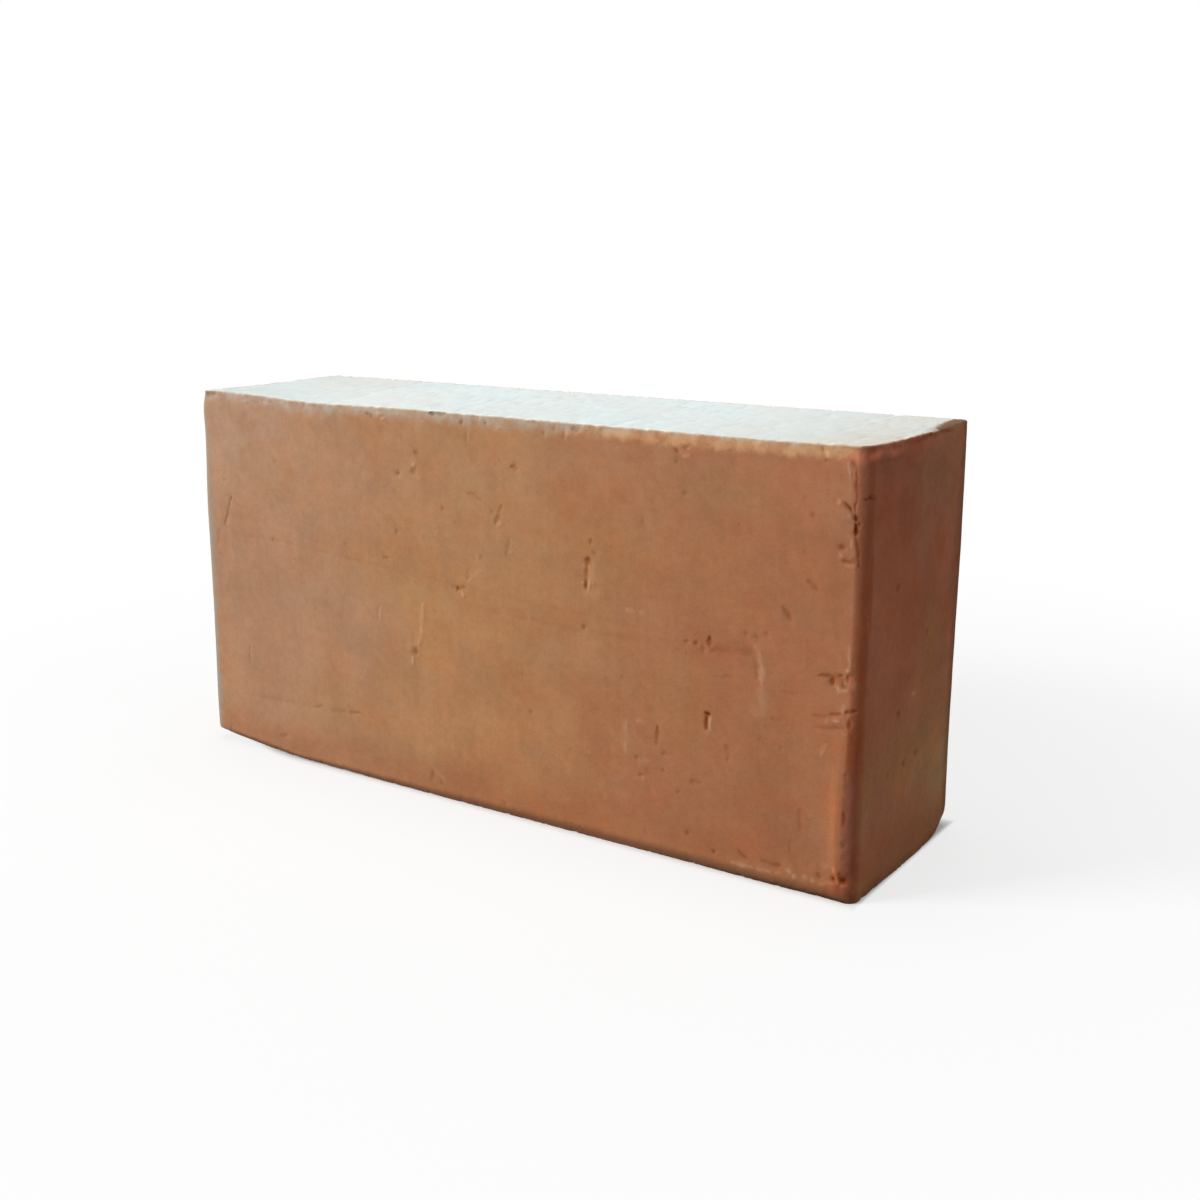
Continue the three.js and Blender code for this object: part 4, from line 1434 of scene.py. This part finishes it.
class BrickBody(bpy.types.PropertyGroup):
    """Sizes of the block and how finely it is meshed."""

    die_radius: length("Die radius", "Rounding of the four upright arrises", 3.2 * MM)
    wire_radius: length("Wire arris radius", "Rounding of the arrises round the top and base", 0.5 * MM)
    front_wear: along_axes(
        "Front wear",
        "How far the worn left front corner of the base reaches along, through and up",
        (36 * MM, 14 * MM, 3.6 * MM),
    )
    back_wear: along_axes(
        "Back wear",
        "How far the worn right back corner of the base reaches along, through and up",
        (8 * MM, 9 * MM, 5 * MM),
    )
    front_softness: length("Front softness", "How gently the front wear runs into the faces", 0.35 * MM)
    back_softness: length("Back softness", "How gently the back wear runs into the faces", 1.1 * MM)
    arris_band: length("Arris band", "Width of the rubbed band along the wire-cut arrises", 1.2 * MM)
    break_zone: length("Break zone", "Width of the finely meshed strip beside the upright arrises", 2.0 * MM)
    step: length("Mesh step", "Spacing of the mesh along the length and the height", 0.36 * MM)
    side_step: length("Side step", "Spacing of the mesh through the thickness", 0.9 * MM)
    triangles: IntProperty(name="Triangles", description="Most triangles in the brick", default=190000)


class BrickRelief(bpy.types.PropertyGroup):
    """The uneven faces of extruded clay."""

    bow_depth: length("Bow depth", "How much the faces bow and twist", 0.5 * MM)
    bow_size: length("Bow size", "Width of a bow", 90 * MM)
    lump_depth: length("Lump depth", "Height of the low lumps", 0.14 * MM)
    lump_size: length("Lump size", "Width of a lump", 14 * MM)
    drag_depth: length("Drag depth", "Depth of the upright lines that the die drags", 0.035 * MM)
    drag_width: length("Drag width", "Spacing of the drag lines", 2.5 * MM)
    tear_depth: length("Tear depth", "Roughness of the wire-cut faces", 0.3 * MM)
    tear_size: length("Tear size", "Width of a tear on a wire-cut face", 4 * MM)
    chip_depth: length("Chip depth", "Depth of the chips along the wire-cut arrises", 0.35 * MM)
    chip_size: length("Chip size", "Width of a chip", 3.5 * MM)
    pit_depth: length("Pit depth", "Depth of a scattered pit of the radius below", 0.2 * MM)
    pit_radius: length("Pit radius", "Radius of the larger scattered pits", 0.9 * MM)
    pit_density: FloatProperty(name="Pit density", description="Pits per square metre", default=2600)
    seed: IntProperty(name="Seed", description="Another seed scatters the pits another way", default=7)


class BrickClay(bpy.types.PropertyGroup):
    """Colours and grain of the fired clay."""

    # Paler, pinker clay at the left, with the painted sheen of the key lamp in it
    rose_and_sheen: colour("Rose", "Clay towards the left end", (0.395, 0.210, 0.117))
    ochre: colour("Ochre", "Clay in the middle", (0.400, 0.197, 0.087))
    red: colour("Red", "Clay towards the right end", (0.360, 0.146, 0.068))
    header: colour("Header", "Redder clay on the right header", (0.385, 0.137, 0.067))
    foot: colour("Foot", "Redder clay low on the faces", (0.343, 0.135, 0.058))
    # Darkens dark specks, and pits and cracks with dirt and painted shade
    hollow: colour("Hollow", "Multiplies the clay's colour in pits and cracks", (0.510, 0.235, 0.020))
    # Painted contact shadow right over the ground
    contact_shadow: colour("Sole", "Multiplies the clay's colour right over the ground", (0.240, 0.200, 0.190))
    # Painted shade along the base, under the bloom and behind the left front arris
    painted_shade: colour("Grime", "Dirt along the base and under the bloom", (0.135, 0.057, 0.028))
    bare: colour("Bare corner", "Clay in the corner that the bloom leaves bare", (0.215, 0.110, 0.058))
    broken: colour("Broken", "Fresh clay where an arris is chipped", (0.330, 0.120, 0.050))
    # Pale scuffs and crumbs, and painted highlight on raised lips
    scuff_and_highlight: colour("Scuff", "Pale clay on rubbed ridges", (0.600, 0.390, 0.250))
    dust: colour("Dust", "Film of dust high on the left", (0.740, 0.670, 0.590))
    # Painted highlight under the upper arris at the right, where it rounds over
    gold_highlight: colour("Golden dust", "Rubbed clay under the upper arris at the right", (0.850, 0.530, 0.260))
    # Painted grey sheen down the left front arris
    left_arris_sheen: colour("End dust", "Dust down the left front arris", (0.300, 0.272, 0.222))
    grey_dust: colour("Grey dust", "Dust under the upper arris", (0.455, 0.440, 0.370))
    # Pale top: chalky bloom with painted glare in it
    bloom_and_glare: colour("Bloom", "Chalky bloom on the top", (0.765, 0.850, 0.845))
    # Warmer patches of the same bloom and painted glare
    warm_bloom_and_glare: colour("Warm bloom", "Where the bloom is warmer", (0.790, 0.825, 0.795))
    # Painted cream highlight along the top's arrises
    bloom_edge_highlight: colour("Bloom edge", "Creamy bloom along the arrises", (0.860, 0.860, 0.760))
    grain_height: length("Grain height", "Height of the finest grain", 0.05 * MM)


class BrickStudio(bpy.types.PropertyGroup):
    """Camera, lamps and floor."""

    camera_place: along_axes("Camera place", "Where the camera stands", (0.2529, -0.3490, 0.1660))
    camera_turn: FloatVectorProperty(
        name="Camera turn",
        description="The camera's tilt, roll and heading",
        default=tuple(math.radians(angle) for angle in (75.69, 0.33, 33.96)),
        subtype="EULER",
    )
    camera_lens: FloatProperty(
        name="Lens", description="Focal length on a 36 mm sensor", default=44.72, unit="CAMERA"
    )
    key_power: power("Key power", "Lamp at the left front", 92.0)
    top_power: power("Top power", "Lamp overhead", 4.3)
    rim_power: power("Rim power", "Lamp at the right back", 1.55)
    sky: FloatProperty(name="Sky", description="Light from all round", default=0.25)
    floor_colour: colour("Floor", "Floor as the camera sees it", (0.9, 0.9, 0.9))
    floor_bounce: colour("Floor bounce", "Floor as it lights the brick", (0.25, 0.25, 0.25))


# ---------------------------------------------------------------- operators


def plain_mesh(piece, name):
    """Puts the mesh that the piece's modifiers give in place of its own, and takes them off."""
    depsgraph = bpy.context.evaluated_depsgraph_get()
    mesh = bpy.data.meshes.new_from_object(piece.evaluated_get(depsgraph))
    mesh.name = name
    piece.modifiers.clear()
    piece.data = mesh


class BRICK_OT_add_brick(bpy.types.Operator):
    """Adds the fired brick in place of the plain block"""

    bl_idname = "brick.add_brick"
    bl_label = "Add Fired Brick"

    def execute(self, context):
        scene = context.scene
        mesh = block_mesh(scene.brick_body)
        brick = bpy.data.objects.new("fired_brick", mesh)
        scene.collection.objects.link(brick)
        relief = brick.modifiers.new("relief", "NODES")
        relief.node_group = relief_tree()
        for name in RELIEF_INPUTS:
            set_input(relief, name, getattr(scene.brick_relief, name.lower().replace(" ", "_")))
        set_input(relief, "Seed", scene.brick_relief.seed)
        set_input(relief, "Clay", clay_material(scene.brick_clay))
        thin = brick.modifiers.new("thin", "DECIMATE")
        thin.ratio = min(1.0, scene.brick_body.triangles / (2 * len(mesh.polygons)))
        thin.vertex_group = brick.vertex_groups.new(name=KEPT_GROUP).name
        thin.invert_vertex_group = True
        thin.vertex_group_factor = KEPT_WEIGHT
        plain_mesh(brick, "fired_brick")
        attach(brick, "root")
        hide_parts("brick")
        return {"FINISHED"}


def add_floor(studio, scene):
    corners = [(x * FLOOR_REACH, y * FLOOR_REACH, 0) for x, y in ((-1, -1), (1, -1), (1, 1), (-1, 1))]
    mesh = bpy.data.meshes.new("studio_floor")
    mesh.from_pydata(corners, [], [(0, 1, 2, 3)])
    mesh.materials.append(floor_material(studio))
    floor = bpy.data.objects.new("studio_floor", mesh)
    scene.collection.objects.link(floor)


def add_sky(studio, scene):
    world = bpy.data.worlds.new("studio_sky")
    world.use_nodes = True
    world.node_tree.nodes.clear()
    graph = Graph(world.node_tree)
    strength = graph.remap(seen_by_camera(graph), 0.0, 1.0, studio.sky, 1.0)
    shader = graph.node("ShaderNodeBackground", {"Color": (1, 1, 1, 1), "Strength": strength})
    graph.node("ShaderNodeOutputWorld", {"Surface": shader.outputs[0]})
    scene.world = world


def add_lamp(scene, name, place, size, power):
    """A square soft lamp that faces the middle of the brick."""
    data = bpy.data.lights.new(name, "AREA")
    data.size = size
    data.energy = power
    lamp = bpy.data.objects.new(name, data)
    lamp.location = place
    facing = (LOW + HIGH) / 2 - lamp.location
    lamp.rotation_euler = facing.to_track_quat("-Z", "Y").to_euler()
    scene.collection.objects.link(lamp)


def add_camera(studio, scene):
    data = bpy.data.cameras.new("camera")
    data.sensor_width = 36
    data.lens = studio.camera_lens
    data.clip_start = 0.01
    camera = bpy.data.objects.new("camera", data)
    camera.location = studio.camera_place
    camera.rotation_euler = studio.camera_turn
    scene.collection.objects.link(camera)
    scene.camera = camera


class BRICK_OT_add_stage(bpy.types.Operator):
    """Adds the camera, the lamps, the sky and the floor"""

    bl_idname = "brick.add_stage"
    bl_label = "Add Studio"

    def execute(self, context):
        scene = context.scene
        studio = scene.brick_studio
        add_camera(studio, scene)
        scene.view_settings.view_transform = "Standard"
        add_lamp(scene, "key", (-1.90, -1.75, 1.05), 1.1, studio.key_power)
        add_lamp(scene, "top", (-0.10, 0.10, 1.20), 0.7, studio.top_power)
        add_lamp(scene, "rim", (0.95, 0.05, 0.55), 0.5, studio.rim_power)
        add_sky(studio, scene)
        add_floor(studio, scene)
        return {"FINISHED"}


class BRICK_PT_workshop(bpy.types.Panel):
    """Lists the pieces that can be made and what can be set on them"""

    bl_label = "Fired Clay Brick"
    bl_space_type = "VIEW_3D"
    bl_region_type = "UI"
    bl_category = "Brick"

    def draw(self, context):
        for operator, groups in (
            (BRICK_OT_add_brick, ("brick_body", "brick_relief", "brick_clay")),
            (BRICK_OT_add_stage, ("brick_studio",)),
        ):
            box = self.layout.box()
            box.operator(operator.bl_idname)
            for group in groups:
                settings = getattr(context.scene, group)
                for name in settings.__annotations__:
                    box.prop(settings, name)


SETTINGS = {
    "brick_body": BrickBody,
    "brick_relief": BrickRelief,
    "brick_clay": BrickClay,
    "brick_studio": BrickStudio,
}
CLASSES = (*SETTINGS.values(), BRICK_OT_add_brick, BRICK_OT_add_stage, BRICK_PT_workshop)


def register():
    for cls in CLASSES:
        bpy.utils.register_class(cls)
    for name, group in SETTINGS.items():
        setattr(bpy.types.Scene, name, PointerProperty(type=group))


def unregister():
    for name in SETTINGS:
        delattr(bpy.types.Scene, name)
    for cls in reversed(CLASSES):
        bpy.utils.unregister_class(cls)


def main():
    register()
    bpy.ops.brick.add_stage()
    bpy.ops.brick.add_brick()


if __name__ == "__main__":
    main()
